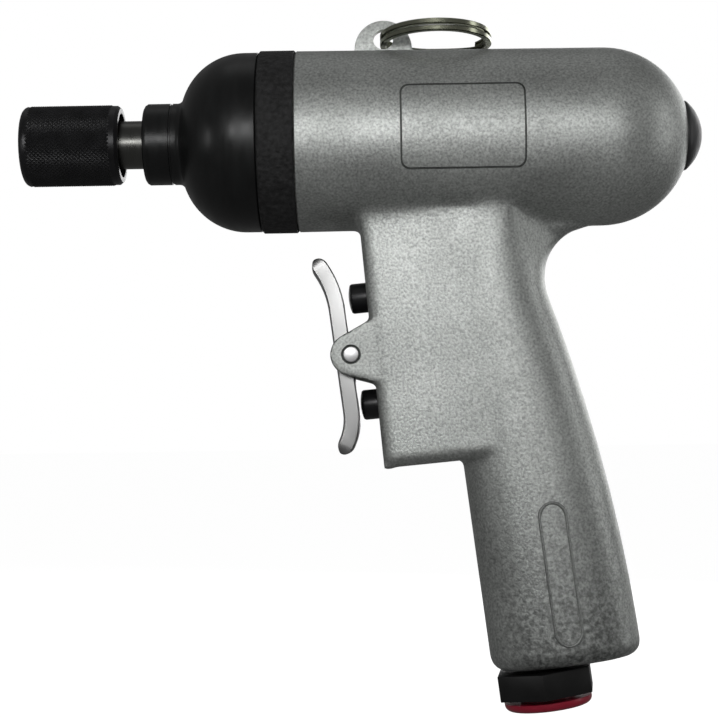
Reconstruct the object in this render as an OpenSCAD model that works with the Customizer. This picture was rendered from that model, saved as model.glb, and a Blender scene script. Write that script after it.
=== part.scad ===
// Pistol-grip pneumatic impact screwdriver with a quarter-inch hex quick-change chuck.
// The spindle axis is X, the nose points to -X, +Z is up and the trigger hangs below.
// The origin lies on the spindle axis, in the middle of the nose boss's clamping length.

/* [Hammer case] */
// Diameter of the nose boss
boss_d = 21.8; // [20.5:0.1:24]
// Length of the nose boss before the dome
boss_len = 9.6; // [8:0.2:11]
// How far the domed case's shoulder lies below the barrel's surface
case_step = 0.2; // [0.1:0.05:0.5]
// Radius of the case's dome
dome_r = 17.5; // [15:0.5:19]
// Distance from the boss face to the coupling band
case_len = 31.2; // [30:0.2:34]
// Diameter of the chamber that the hammer cage turns in
hammer_bore_d = 36; // [35:0.2:36.6]
// Diameter of the threaded spigot behind the dome
spigot_d = 42; // [41:0.2:42.4]
// Length of the threaded spigot
spigot_len = 19.6; // [18:0.2:22]

/* [Coupling band] */
// How far the coupling band stands out of the barrel's surface
band_rise = 0.25; // [0.15:0.05:0.4]
// Width of the coupling band
band_w = 9.6; // [8:0.2:12]

/* [Motor housing] */
// Diameter of the barrel at its front end
barrel_d = 48.4; // [47:0.2:51]
// Diameter of the barrel where the rear dome starts
barrel_rear_d = 47.5; // [46.5:0.1:49]
// Length of the barrel from the band to the rear dome
barrel_len = 81.6; // [80:0.2:90]
// Diameter of the bore that holds the air motor
motor_bore_d = 40.1; // [39:0.1:40.6]
// Height of the hanging lug above the spindle axis
lug_top = 32.3; // [31:0.1:34]
// Radius of the hanging lug's round end
lug_r = 7.7; // [6.5:0.1:9]
// Diameter of the hanging lug's hole
lug_hole_d = 5.4; // [5:0.1:6]
// Distance of the hanging lug behind the boss face
lug_x = 64.3; // [60:0.1:80]
// Thickness of the hanging lug
lug_t = 3.2; // [2.6:0.1:4]

/* [Grip] */
// Distance along the barrel at which the grip's axis crosses the spindle axis
grip_x = 87; // [84:0.1:90]
// Rearward lean of the grip
grip_lean = 7; // [6:0.5:9]
// Length of the grip from the spindle axis to its foot
grip_len = 141.5; // [135:0.5:155]
// Distance from the grip's axis to its front at the foot
grip_front = 13.6; // [12.6:0.1:15]
// Distance from the grip's axis to its back at the foot
grip_back = 26.1; // [25:0.1:28]
// Thickness of the grip from side to side
grip_w = 30.6; // [29:0.2:33]
// Radius of the long bow down the grip's back
grip_bow_r = 420; // [380:5:460]
// Radius of the throat where the grip's back meets the barrel
throat_r = 14.2; // [12:0.1:15]

/* [Trigger block] */
// Distance along the barrel at which the block's face crosses the spindle axis
face_x = 55.2; // [52:0.1:56]
// Tilt of the block's front face
face_tilt = 5; // [4:0.5:7]
// Distance from the spindle axis down the face to the block's bottom corner
block_drop = 88.5; // [85:0.1:92]
// Width of the block at its front face
block_w = 24.8; // [24:0.2:28]
// Extra width of the block where it runs into the grip
block_flare = 4.6; // [3:0.1:5]

/* [Trigger] */
// Distance from the spindle axis down the face to the trigger pin
pivot_drop = 57.7; // [56:0.1:59]
// Distance of the trigger pin in front of the block's face
pivot_out = 5.6; // [5:0.1:6]
// Diameter of the trigger pin
pin_d = 4; // [3.4:0.1:4.4]
// Thickness of each ear that holds the pin
ear_t = 3.2; // [2.8:0.1:3.6]
// Radius of the ears' rounded ends
ear_r = 5.5; // [5.4:0.1:6.2]
// Length of the lever from tip to tip
lever_len = 51.5; // [50:0.5:56]
// Thickness of the lever
lever_t = 4.5; // [4:0.1:5.2]
// Radius that the lever's upper end curls out to
lever_top_r = 24.5; // [20:0.5:30]
// Radius that the lever's lower end curls out to
lever_low_r = 16; // [12:0.5:22]

/* [Buttons and valves] */
// Diameter of the two trigger buttons
button_d = 8; // [7.4:0.1:8.4]
// Distance from the spindle axis down the face to the upper button
upper_drop = 42.4; // [41.5:0.1:43.5]
// Distance from the spindle axis down the face to the lower button
lower_drop = 71; // [70:0.1:72.5]
// How far the upper button stands out of the face
upper_out = 4.9; // [4.5:0.1:4.9]
// How far the lower button stands out of the face
lower_out = 4.6; // [4.2:0.1:4.7]
// Outer diameter of the valve bushings
valve_d = 12; // [11.4:0.1:12.6]
// Length of the valve bushings
valve_len = 26.6; // [26:0.1:28]

/* [Chuck] */
// Diameter of the knurled sleeve
sleeve_d = 21.6; // [21:0.1:21.8]
// Length of the knurled sleeve
sleeve_len = 26.4; // [26:0.1:28]
// Gap between the sleeve and the boss face
sleeve_gap = 6.5; // [5.5:0.1:8]
// Diameter of the anvil's shaft
shaft_d = 12.9; // [12.6:0.1:13.2]
// Width across flats of the hex socket for the bit
bit_af = 6.5; // [6.4:0.05:6.6]
// Depth of the hex socket
bit_depth = 24; // [22:0.5:25]
// Diameter of the locking ball
ball_d = 4; // [3.8:0.1:4.2]

/* [Air motor] */
// Length of the rotor's cylinder
liner_len = 46; // [44:0.5:50]
// Diameter of the rotor
rotor_d = 29.6; // [28:0.2:30]
// Offset of the cylinder's bore from the rotor's axis
eccentric = 1.7; // [1.4:0.05:1.9]
// Number of vanes
vane_count = 5; // [4:1:6]
// Thickness of a vane
vane_t = 1.5; // [1.2:0.1:1.8]

/* [Air inlet] */
// Width across flats of the inlet bushing
inlet_af = 24.1; // [23:0.1:25]
// Height of the inlet bushing's hexagon
inlet_h = 8.8; // [8:0.1:10]
// Bore diameter of the inlet thread
inlet_thread_d = 11.8; // [11.4:0.1:12]
// Diameter of the dust plug's flange
plug_flange_d = 23.2; // [22:0.2:24]

/* [Hanging ring] */
// Outer diameter of the split ring
ring_d = 30; // [28:0.5:31]
// Thickness of one turn of the split ring
ring_wire_t = 1.4; // [1.3:0.05:1.5]
// Radial width of the split ring's wire
ring_wire_w = 1.7; // [1.5:0.05:1.9]
// Tilt of the ring towards the near side
ring_tilt = 4; // [2:1:6]

/* [Hidden] */

// Overrun of a cut past the face that it leaves
cut = 1;
// Clearance of pieces that slide or turn in each other
run_gap = 0.05;
// Clearance of pieces that are pushed together and stay there
seat_gap = 0.02;
// Free gap between pieces that pass each other
free_gap = 0.3;

// Stations along the barrel, from the boss face to the rear
band_x0 = case_len;
case_d = barrel_d - 2 * case_step;
band_d = barrel_d + 2 * band_rise;
band_x1 = band_x0 + band_w;
spigot_x1 = case_len + spigot_len;
gasket_t = 0.4;
front_plate_x0 = spigot_x1 + gasket_t;
front_plate_t = 7.4;
liner_x0 = front_plate_x0 + front_plate_t;
liner_x1 = liner_x0 + liner_len;
rear_plate_t = 8.2;
rear_plate_x1 = liner_x1 + rear_plate_t;
preload_t = 1.4;
motor_x1 = rear_plate_x1 + preload_t;
dome_x = band_x1 + barrel_len;

// Hammer case and what turns inside it
boss_chamfer = 1;
boss_fillet = 1.2;
nose_wall_x = 14.5;
nose_bore_d = 17;
chamber_taper = 4;
bush_setback = 0.8;
thrust_t = 0.8;
thrust_d = 19;
anvil_flange_d = 18;
anvil_flange_t = 2;
anvil_flange_x = nose_wall_x + thrust_t + run_gap;
cage_x0 = anvil_flange_x + anvil_flange_t + free_gap;
cage_d = hammer_bore_d - 4 * free_gap;
cage_disc_t = 3.6;
cage_edge = cage_disc_t / 2;
cage_len = 27;
cage_x1 = cage_x0 + cage_len;
cage_eye_d = 23;
cage_strut_in_d = 26.6;
cage_strut_half = 28;
drive_af = 8.6;
dog_out_d = cage_d - 2 * free_gap;
dog_in_d = 15.4;
dog_half = 50;
dog_pin_r = 14.6;
dog_pin_d = 3.8;
anvil_body_d = 14;
ear_out_d = cage_eye_d - 2 * free_gap;
anvil_ear_half = 25;
pilot_d = 6;
pilot_len = 5;

// Chuck: places are measured forward from the boss face
sleeve_x1 = -sleeve_gap;
sleeve_x0 = sleeve_x1 - sleeve_len;
shaft_setback = 1.9;
shaft_x0 = sleeve_x0 + shaft_setback;
sleeve_edge_r = 1.9;
sleeve_rim_chamfer = 0.8;
sleeve_travel = 3.5;
chamber_d = 16.8;
land_d = shaft_d + 2 * run_gap;
rear_cup_d = 17.2;
rear_cup_len = 1.8;
guide_len = 1.4;
lock_rise = 1.35;
lock_share = lock_rise / sleeve_travel;
ball_x = sleeve_x1 - rear_cup_len - guide_len - free_gap - sleeve_travel - ball_d / 2;
ball_z = shaft_d / 2 - ball_d / 2;
land_edge_x = ball_x - free_gap - 2 * run_gap;
land_len = 2.2;
spring_x1 = land_edge_x - land_len;
clip_t = 1;
clip_d = 15.6;
clip_setback = 1.2;
clip_groove_d = 11.4;
clip_x0 = shaft_x0 + clip_setback;
washer_t = 0.9;
washer_x0 = clip_x0 + clip_t + seat_gap;
spring_x0 = washer_x0 + washer_t;
sleeve_wire_d = 0.9;
sleeve_curls = 5;

// Grip and trigger block
grip_edge_r = 4;
grip_round_share = 2 / 2.5;
side_fillet_r = 10;
block_depth = 40;
block_corner_r = 2;
block_edge_r = 3;
block_rise_share = 0.01;
block_fillet_r = 8;
supply_d = 7.2;
exhaust_d = 6;
exhaust_u = 18.4;
exhaust_top_u = 3.9;
exhaust_top_w = 18.7;
silencer_d = 7;
silencer_t = 5;
silencer_recess = 0.8;
supply_top_u = -3.3;
supply_top_w = 36;
feed_d = 2.8;
feed_side = 4.6;
feed_spread = 6.4;
thread_d = 18;
thread_len = 12;

// Trigger lever and its pivot
ear_gap = block_w / 2 - ear_t;
lever_w = 2 * (ear_gap - free_gap - run_gap);
lever_crown_r = 25;
lever_out = 7.8;
lever_lean = 2.2;
lever_top_len = 13.6;
lever_low_len = 10.8;
lever_top_share = 0.505;
lever_boss_r = 3.2;
ear_top_slope = 24;
ear_low_slope = 20;
ear_reach = 7;
pin_head_recess = 0.5;
pin_sink_d = pin_d + 1;

// Valves, measured along each button's axis from the block's face
valve_setback = 0.4;
valve_bore_len = 33;
guide_d = button_d + 4 * run_gap;
button_len = 5;
button_dome_r = 12;
button_edge = 0.7;
stem_d = 3.8;
spool_x = 11;
spool_len = 5;
groove_w = 1.2;
groove_d = 6;
seal_wire_d = (guide_d - groove_d) / 2 - 2 * run_gap;
port_d = 2.4;
port_x = 8.5;
port_pitch = 12;
valve_spring_r = 2.9;
valve_wire_d = 0.7;
valve_curls = 6;
cap_t = 2.4;
cap_post_d = 3.6;
cap_post_len = 3;

// Air motor
tip_gap = 0.15;
liner_bore_d = rotor_d + 2 * (eccentric + tip_gap);
slot_depth = 7.8;
vane_h = 7.4;
vane_tuck = 0.2;
bearing_d = 22;
front_bearing_w = 6;
rear_bearing_w = 7;
front_shaft_d = 10;
rear_shaft_d = 8;
front_race_d = 16;
rear_race_d = 15;
front_ball_d = 3;
rear_ball_d = 3.6;
bearing_floor = 1.2;
dowel_r = 17.4;
dowel_d = 2.4;
plate_slack = 0.15;

// Rear plug, inlet and ring
rear_plug_d = 18.6;
rear_plug_out = 4.4;
rear_plug_seat = 0.6;
rear_plug_stem_d = 14.4;
rear_plug_stem_len = 22;
rear_seat_x = dome_x + sqrt(pow(barrel_rear_d / 2, 2) - pow(rear_plug_d / 2, 2));
inlet_mouth_d = 14.8;
inlet_mouth_len = 2.8;
inlet_thread_len = 13.4;
inlet_hole_d = 8;
inlet_chamfer = 1.6;
inlet_turn = -7;
screen_t = 0.8;
screen_hole_d = 1.5;
plug_flange_t = 2.2;
plug_spigot_len = 2.4;
ring_turn_gap = 0.45;
ring_pitch = ring_wire_t + ring_turn_gap;
ring_drop = 0.1;
lug_wall = 2.4;
lug_hole_z = lug_top - lug_wall - lug_hole_d / 2;

// Stations are counted from the boss face; this moves the origin to the middle of the boss
boss_mid = (boss_chamfer + boss_len) / 2;
module placed() {
    translate([-boss_mid, 0, 0]) children();
}

// Places in the frame of the trigger block's face: x runs inward, z runs up the face
module on_face() {
    translate([face_x, 0, 0]) rotate([0, -face_tilt, 0]) children();
}

// Places in the frame of the grip: x runs to the back, z runs up the grip
module on_grip() {
    translate([grip_x, 0, 0]) rotate([0, -grip_lean, 0]) children();
}

// A profile drawn as radius and station, turned about the spindle axis
module turned(facets = 96) {
    rotate([0, 90, 0]) rotate_extrude($fn = facets) children();
}

// A round bar along X from one station to another
module bar(x0, x1, d, facets = 64) {
    translate([x0, 0, 0]) rotate([0, 90, 0]) cylinder(h = x1 - x0, d = d, $fn = facets);
}

// A round tube along X from one station to another
module pipe(x0, x1, outer, inner, facets = 64) {
    turned(facets) translate([inner / 2, x0]) square([(outer - inner) / 2, x1 - x0]);
}

// A hexagonal bar along X, given its width across flats
module hex_bar(x0, x1, flats) {
    translate([x0, 0, 0]) rotate([0, 90, 0])
        cylinder(h = x1 - x0, d = flats / cos(30), $fn = 6);
}

// Triangles that join a stack of rings with equal numbers of points into one closed skin
function ring_faces(rings, sides) = concat(
    [for (k = [0:rings - 2], i = [0:sides - 1])
        [k * sides + i, k * sides + (i + 1) % sides, (k + 1) * sides + i]],
    [for (k = [0:rings - 2], i = [0:sides - 1])
        [k * sides + (i + 1) % sides, (k + 1) * sides + (i + 1) % sides, (k + 1) * sides + i]],
    [for (i = [1:sides - 2]) [0, i + 1, i]],
    [for (i = [1:sides - 2])
        [(rings - 1) * sides, (rings - 1) * sides + i, (rings - 1) * sides + i + 1]]);

// A skin over a list of rings
module skin(rings) {
    sides = len(rings[0]);
    polyhedron(points = [for (r = rings) each r], faces = ring_faces(len(rings), sides));
}

// Growth of a wall on its way into a fillet, at a distance before the fillet's start
function fillet_rise(radius, before) =
    before <= 0 ? 0 : radius - sqrt(max(0, pow(radius, 2) - pow(before, 2)));

// Depth below the axis at which a wall of a given half width starts its fillet into the barrel
function fillet_start(half, radius) =
    sqrt(pow(barrel_rear_d / 2 + radius, 2) - pow(half + radius, 2));
function fillet_end(half, radius) =
    fillet_start(half, radius) * barrel_rear_d / (barrel_rear_d + 2 * radius);
side_start = fillet_start(grip_w / 2, side_fillet_r);
side_end = fillet_end(grip_w / 2, side_fillet_r);
block_start = fillet_start(block_w / 2, block_fillet_r);
block_end = fillet_end(block_w / 2, block_fillet_r);

// The grip's back is a long bow that runs into the throat's circle, as stations below the axis
bow_c = [grip_x + (grip_back - grip_bow_r) * cos(grip_lean) + grip_len * sin(grip_lean),
    grip_len * cos(grip_lean) - (grip_back - grip_bow_r) * sin(grip_lean)];
throat_d = barrel_rear_d / 2 + throat_r;
throat_x = bow_c[0] + sqrt(pow(grip_bow_r + throat_r, 2) - pow(bow_c[1] - throat_d, 2));
throat_end = bow_c[1] - (bow_c[1] - throat_d) * grip_bow_r / (grip_bow_r + throat_r);
function back_x(d) = d < throat_end
    ? throat_x - sqrt(max(0, pow(throat_r, 2) - pow(d - throat_d, 2)))
    : bow_c[0] + sqrt(pow(grip_bow_r, 2) - pow(d - bow_c[1], 2));
function power_share(v, share) = sign(v) * pow(abs(v), share);

// Grip section at a distance down the grip's axis; the sections tilt over to the foot's plane
function grip_ring(w, tilt, inset) =
    let (mid = [grip_x + w * sin(grip_lean), w * cos(grip_lean)],
        guess = back_x(mid[1]) - mid[0],
        back = (back_x(mid[1] - guess * sin(tilt)) - mid[0]) / cos(tilt) - inset,
        front = inset - grip_front / cos(grip_lean - tilt),
        half = grip_w / 2 + fillet_rise(side_fillet_r, side_start - mid[1]) - inset,
        centre = (back + front) / 2, reach = (back - front) / 2)
    [for (i = [0:39]) let (a = 360 * i / 40, u = centre + reach * power_share(cos(a), grip_round_share))
        [mid[0] + u * cos(tilt), half * power_share(sin(a), grip_round_share), u * sin(tilt) - mid[1]]];
throat_w = throat_end / cos(grip_lean);
function grip_rings() = concat(
    [grip_ring(side_end / cos(grip_lean) / 2, 0, 0)],
    [for (k = [0:4]) grip_ring((side_end + (throat_d - throat_r - side_end) * k / 4) / cos(grip_lean), 0, 0)],
    [for (k = [1:6]) grip_ring((throat_d - throat_r * cos(90 * k / 6)) / cos(grip_lean), 0, 0)],
    [for (k = [0:9]) let (last = grip_len - grip_edge_r)
        grip_ring(throat_w + (last - throat_w) * k / 9, grip_lean * k / 9, 0)],
    [for (k = [1:4]) grip_ring(grip_len - grip_edge_r * (1 - sin(90 * k / 4)), grip_lean,
        grip_edge_r * (1 - cos(90 * k / 4)))]);

// Trigger block section: a tapered plan with two rounded front corners
function corner(cx, cy, from) = [for (k = [0:4]) let (a = from + 90 * k / 4)
    [cx + block_corner_r * cos(a), cy + block_corner_r * sin(a)]];
function block_plan(grow) =
    let (front = block_w / 2 + grow, rear = (block_w + block_flare) / 2 + grow)
    concat([[block_depth, -rear], [block_depth, rear]],
        corner(block_corner_r, front - block_corner_r, 90),
        corner(block_corner_r, block_corner_r - front, 180));
function block_ring(w, grow) = [for (p = block_plan(grow)) [p[0], p[1], -w]];
function block_rings() = concat(
    [block_ring(block_end / 2, fillet_rise(block_fillet_r, block_start - block_end))],
    [for (k = [0:6]) let (w = block_end + (block_start - block_end) * k / 6)
        block_ring(w, fillet_rise(block_fillet_r, block_start - w))],
    [for (k = [0:4]) let (a = 90 * k / 4)
        [for (p = block_plan(block_edge_r * (cos(a) - 1)))
            [p[0], p[1], block_edge_r * (1 - sin(a)) - block_drop + block_rise_share * p[0]]]]);

// Outer skin of the barrel with its rear dome
module barrel_skin() {
    turned() {
        polygon([[0, band_x1], [barrel_d / 2 - run_gap, band_x1], [barrel_d / 2, band_x1 + free_gap],
            [barrel_rear_d / 2, dome_x], [0, dome_x]]);
        intersection() {
            translate([0, dome_x]) circle(d = barrel_rear_d, $fn = 96);
            translate([0, dome_x]) square(barrel_rear_d);
        }
    }
}

// Outline of one trigger ear, as seen from the side
module ear_outline() {
    up = [cos(90 + ear_top_slope), sin(90 + ear_top_slope)] * ear_r;
    low = [cos(-90 - ear_low_slope), sin(-90 - ear_low_slope)] * ear_r;
    reach = pivot_out + ear_reach;
    translate([-pivot_out, -pivot_drop]) {
        circle(r = ear_r, $fn = 48);
        polygon([[0, 0], up, [reach, up[1] + (reach - up[0]) * tan(ear_top_slope)],
            [reach, low[1] - (reach - low[0]) * tan(ear_low_slope)], low]);
    }
}

// Hanging lug on top of the barrel, a rounded tab with a hole for the ring
module lug() {
    translate([lug_x, lug_t / 2, 0]) rotate([90, 0, 0]) linear_extrude(lug_t) difference() {
        union() {
            translate([0, lug_top - lug_r]) circle(r = lug_r, $fn = 64);
            translate([-lug_r, lug_top - 2 * lug_r]) square([2 * lug_r, lug_r]);
        }
        translate([0, lug_hole_z]) circle(d = lug_hole_d, $fn = 48);
    }
}

// One-piece cast body: barrel, rear dome, grip, trigger block, ears and hanging lug
module motor_housing() {
    color([0.72, 0.73, 0.72]) placed() difference() {
        union() {
            barrel_skin();
            skin(grip_rings());
            on_face() skin(block_rings());
            on_face() translate([0, block_w / 2 - run_gap, 0]) rotate([90, 0, 0])
                linear_extrude(block_w - 2 * run_gap) ear_outline();
            lug();
        }
        // threaded mouth, motor bore and the hole behind the plug
        bar(band_x1 - cut, front_plate_x0, spigot_d + 2 * seat_gap, 96);
        bar(front_plate_x0 - cut, motor_x1, motor_bore_d, 96);
        bar(motor_x1 - cut, dome_x + barrel_rear_d, rear_plug_stem_d + 2 * seat_gap);
        bar(rear_seat_x, dome_x + barrel_rear_d, rear_plug_d + 2 * seat_gap, 96);
        // gap between the two ears
        on_face() translate([-2 * ear_reach - pivot_out, -ear_gap, -block_drop])
            cube([2 * ear_reach + pivot_out, 2 * ear_gap, block_drop - barrel_d / 2 - ear_reach]);
        // pin bore with its two sinks
        on_face() translate([-pivot_out, block_w / 2 + cut, -pivot_drop]) rotate([90, 0, 0])
            cylinder(h = block_w + 2 * cut, d = pin_d + 2 * seat_gap, $fn = 48);
        for (side = [-1, 1]) on_face()
            translate([-pivot_out, side * (block_w / 2 - run_gap - pin_head_recess), -pivot_drop])
            rotate([-90 * side, 0, 0]) cylinder(h = cut, d = pin_sink_d, $fn = 48);
        // valve bores, air supply and exhaust
        for (drop = [upper_drop, lower_drop]) on_face() translate([0, 0, -drop])
            bar(-cut, valve_bore_len, valve_d + 2 * seat_gap);
        on_grip() translate([0, 0, -grip_len - cut])
            cylinder(h = thread_len + cut, d = thread_d + 2 * seat_gap, $fn = 64);
        on_grip() channel([0, 0, thread_len - grip_len], [supply_top_u, 0, -supply_top_w], supply_d);
        on_grip() channel([exhaust_u, 0, -grip_len - cut], [exhaust_top_u, 0, -exhaust_top_w], exhaust_d);
        // feed from each valve up into the motor; the lower valve's runs beside the upper bushing
        on_face() channel([port_x, 0, -upper_drop], [port_x, 0, -motor_bore_d / 2 + cut], feed_d);
        on_face() channel([port_x + port_pitch, feed_side, -lower_drop],
            [port_x + port_pitch, feed_side + feed_spread, -motor_bore_d / 2 + 2 * cut], feed_d);
        on_grip() translate([exhaust_u, 0, -grip_len - cut])
            cylinder(h = silencer_recess + silencer_t + cut, d = silencer_d + 2 * seat_gap, $fn = 48);
    }
}

// A round channel from one place to another
module channel(from, to, d) {
    way = to - from;
    translate(from) rotate([0, acos(way[2] / norm(way)), atan2(way[1], way[0])])
        cylinder(h = norm(way), d = d, $fn = 32);
}

// Domed nose case with its boss, screwed into the housing by its rear spigot
module hammer_case() {
    color([0.06, 0.06, 0.065]) placed() difference() {
        turned() {
            polygon([[0, 0], [boss_d / 2 - boss_chamfer, 0], [boss_d / 2, boss_chamfer],
                [boss_d / 2, boss_len], [boss_d / 2 + boss_fillet, boss_len + boss_fillet],
                [boss_d / 2 + boss_fillet, case_len], [0, case_len]]);
            intersection() {
                translate([case_d / 2 - dome_r, boss_len + dome_r]) circle(r = dome_r, $fn = 96);
                square([case_d / 2, case_len]);
            }
            translate([0, boss_len + dome_r]) square([case_d / 2, case_len - boss_len - dome_r]);
            translate([0, case_len - cut]) square([spigot_d / 2, spigot_len + cut]);
        }
        turned() polygon([[0, nose_wall_x], [hammer_bore_d / 2 - chamber_taper, nose_wall_x],
            [hammer_bore_d / 2, nose_wall_x + chamber_taper], [hammer_bore_d / 2, spigot_x1 + cut],
            [0, spigot_x1 + cut]]);
        bar(bush_setback, nose_wall_x + cut, nose_bore_d + 2 * seat_gap);
        bar(-cut, nose_wall_x, shaft_d + 4 * free_gap);
    }
}

// Coupling band between the case's shoulder and the housing
module coupling_band() {
    color([0.1, 0.1, 0.1]) placed() turned() difference() {
        translate([spigot_d / 2 + seat_gap, band_x0])
            square([(band_d - spigot_d) / 2 - seat_gap, band_w]);
        translate([band_d / 2, band_x0]) rotate(45) square(2 * free_gap, center = true);
        translate([band_d / 2, band_x1]) rotate(45) square(2 * free_gap, center = true);
    }
}

// Bronze bushing that the anvil turns in
module anvil_bushing() {
    color([0.7, 0.5, 0.25]) placed()
        pipe(bush_setback + run_gap, nose_wall_x - seat_gap, nose_bore_d, shaft_d + 2 * run_gap);
}

// Steel washer between the case's wall and the anvil's flange
module thrust_washer() {
    color([0.6, 0.6, 0.62]) placed()
        pipe(nose_wall_x, nose_wall_x + thrust_t, thrust_d, shaft_d + 2 * run_gap);
}

// Flat gasket between the case's spigot and the front end plate
module case_gasket() {
    color([0.25, 0.3, 0.2]) placed() pipe(spigot_x1, front_plate_x0, spigot_d - free_gap, hammer_bore_d, 96);
}

// End plate of the motor with a pocket for its bearing, pocket towards -X
module end_plate(x0, x1, pocket_w, shaft) {
    difference() {
        bar(x0, x1, motor_bore_d - 2 * run_gap, 96);
        bar(x0 - cut, x0 + pocket_w, bearing_d + 2 * seat_gap);
        bar(x0 - cut, x1 + cut, shaft + 4 * free_gap);
        translate([0, 0, dowel_r]) bar(x0 + pocket_w / 2, x1 + cut, dowel_d + 2 * seat_gap, 32);
    }
}

module front_end_plate() {
    color([0.55, 0.56, 0.58]) placed() end_plate(front_plate_x0, liner_x0,
        front_plate_t - bearing_floor, front_shaft_d);
}

// The rear plate is the same kind of piece, turned round
module rear_end_plate() {
    color([0.55, 0.56, 0.58]) placed() translate([liner_x1 + rear_plate_x1, 0, 0]) mirror([1, 0, 0])
        end_plate(liner_x1, rear_plate_x1, rear_plate_t - bearing_floor, rear_shaft_d);
}

// One race ring of a ball bearing, with its groove
module race(x0, w, outer, inner, race_d, ball) {
    turned() difference() {
        translate([inner / 2, x0]) square([(outer - inner) / 2, w]);
        translate([race_d / 2, x0 + w / 2]) circle(d = ball + 2 * run_gap, $fn = 48);
    }
}

// Balls of a bearing with the ribbon cage that spaces them
module ball_set(x0, w, race_d, ball, count) {
    for (i = [0:count - 1]) rotate([360 * i / count, 0, 0])
        translate([x0 + w / 2, 0, race_d / 2]) sphere(d = ball, $fn = 32);
    pipe(x0 + w / 2 - ball / 8, x0 + w / 2 + ball / 8, race_d + ball / 3, race_d - ball / 3);
}

front_bearing_x = liner_x0 - bearing_floor - front_bearing_w;
rear_bearing_x = liner_x1 + bearing_floor;
front_lip = front_race_d - front_ball_d * 0.7;
rear_lip = rear_race_d - rear_ball_d * 0.7;

module front_bearing_outer() {
    color([0.75, 0.76, 0.78]) placed() race(front_bearing_x, front_bearing_w, bearing_d,
        2 * front_race_d - front_lip, front_race_d, front_ball_d);
}

module front_bearing_inner() {
    color([0.75, 0.76, 0.78]) placed() race(front_bearing_x, front_bearing_w, front_lip,
        front_shaft_d + 2 * seat_gap, front_race_d, front_ball_d);
}

module front_bearing_balls() {
    color([0.8, 0.8, 0.82]) placed()
        ball_set(front_bearing_x, front_bearing_w, front_race_d, front_ball_d, 9);
}

module rear_bearing_outer() {
    color([0.75, 0.76, 0.78]) placed() race(rear_bearing_x, rear_bearing_w, bearing_d,
        2 * rear_race_d - rear_lip, rear_race_d, rear_ball_d);
}

module rear_bearing_inner() {
    color([0.75, 0.76, 0.78]) placed() race(rear_bearing_x, rear_bearing_w, rear_lip,
        rear_shaft_d + 2 * seat_gap, rear_race_d, rear_ball_d);
}

module rear_bearing_balls() {
    color([0.8, 0.8, 0.82]) placed() ball_set(rear_bearing_x, rear_bearing_w, rear_race_d, rear_ball_d, 7);
}

// Motor cylinder: its bore is off centre, so that the vanes sweep a crescent
module cylinder_liner() {
    color([0.5, 0.5, 0.52]) placed() difference() {
        bar(liner_x0, liner_x1, motor_bore_d - 2 * run_gap, 96);
        translate([0, 0, -eccentric]) bar(liner_x0 - cut, liner_x1 + cut, liner_bore_d, 96);
        translate([0, 0, dowel_r]) bar(liner_x0 - cut, liner_x1 + cut, dowel_d + 2 * seat_gap, 32);
        for (i = [0:4]) translate([liner_x0 + liner_len * (2 + i) / 8, 0, -motor_bore_d])
            cylinder(h = motor_bore_d, d = 2 * port_d, $fn = 32);
    }
}

// Dowel that keeps the liner and both end plates from turning
module locating_pin() {
    color([0.7, 0.7, 0.72]) placed() translate([0, 0, dowel_r])
        bar(front_plate_x0 + front_plate_t / 2, rear_plate_x1 - rear_plate_t / 2, dowel_d, 32);
}

// Spring washer that loads the stack of motor pieces
module preload_washer() {
    color([0.6, 0.6, 0.6]) placed() pipe(rear_plate_x1 + seat_gap, motor_x1 - seat_gap,
        motor_bore_d - 4 * run_gap, bearing_d + 4 * free_gap, 96);
}

// Rubber plug in the rear dome: a domed head, a seat ring and a stem
module rear_plug() {
    seat_x = rear_seat_x + seat_gap;
    head_r = (pow(rear_plug_d / 2, 2) + pow(rear_plug_out, 2)) / (2 * rear_plug_out);
    color([0.05, 0.05, 0.05]) placed() turned() {
        translate([0, seat_x]) square([rear_plug_d / 2, rear_plug_seat]);
        intersection() {
            translate([0, seat_x + rear_plug_seat + rear_plug_out - head_r]) circle(r = head_r, $fn = 96);
            translate([0, seat_x]) square([rear_plug_d / 2, rear_plug_seat + 2 * rear_plug_out]);
        }
        translate([0, seat_x - rear_plug_stem_len]) square([rear_plug_stem_d / 2, rear_plug_stem_len]);
    }
}

// Rotor with its vane slots, two journals and the hexagonal drive nose
module rotor() {
    color([0.62, 0.63, 0.65]) placed() difference() {
        union() {
            bar(liner_x0 + plate_slack, liner_x1 - plate_slack, rotor_d, 96);
            bar(cage_x1 + free_gap, liner_x0 + plate_slack, front_shaft_d);
            hex_bar(cage_x1 - cage_disc_t - free_gap, cage_x1 + 2 * free_gap, drive_af);
            bar(liner_x1 - plate_slack, rear_plate_x1, rear_shaft_d);
        }
        for (i = [0:vane_count - 1]) rotate([360 * i / vane_count, 0, 0])
            translate([liner_x0 - cut, -vane_t / 2 - run_gap, rotor_d / 2 - slot_depth])
            cube([liner_len + 2 * cut, vane_t + 2 * run_gap, rotor_d]);
        bar(cage_x1 - 2 * cage_disc_t, cage_x1 + pilot_len, pilot_d + 2 * run_gap);
    }
}

// Composite vanes, shown drawn in as when the rotor stands still
module rotor_vanes() {
    color([0.45, 0.3, 0.15]) placed() for (i = [0:vane_count - 1]) rotate([360 * i / vane_count, 0, 0])
        translate([liner_x0 + plate_slack, -vane_t / 2, rotor_d / 2 - vane_tuck - vane_h])
        cube([liner_len - 2 * plate_slack, vane_t, vane_h]);
}

// A sector about the axis that opens by an angle on each side of +Z, drawn as a plan
module sector(outer, inner, half) {
    far = outer / cos(half / 2);
    intersection() {
        difference() {
            circle(d = outer, $fn = 96);
            circle(d = inner, $fn = 96);
        }
        polygon([[0, 0], [far * cos(half), -far * sin(half)], [far * cos(half / 2), -far * sin(half / 2)],
            [far, 0], [far * cos(half / 2), far * sin(half / 2)], [far * cos(half), far * sin(half)]]);
    }
}

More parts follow.
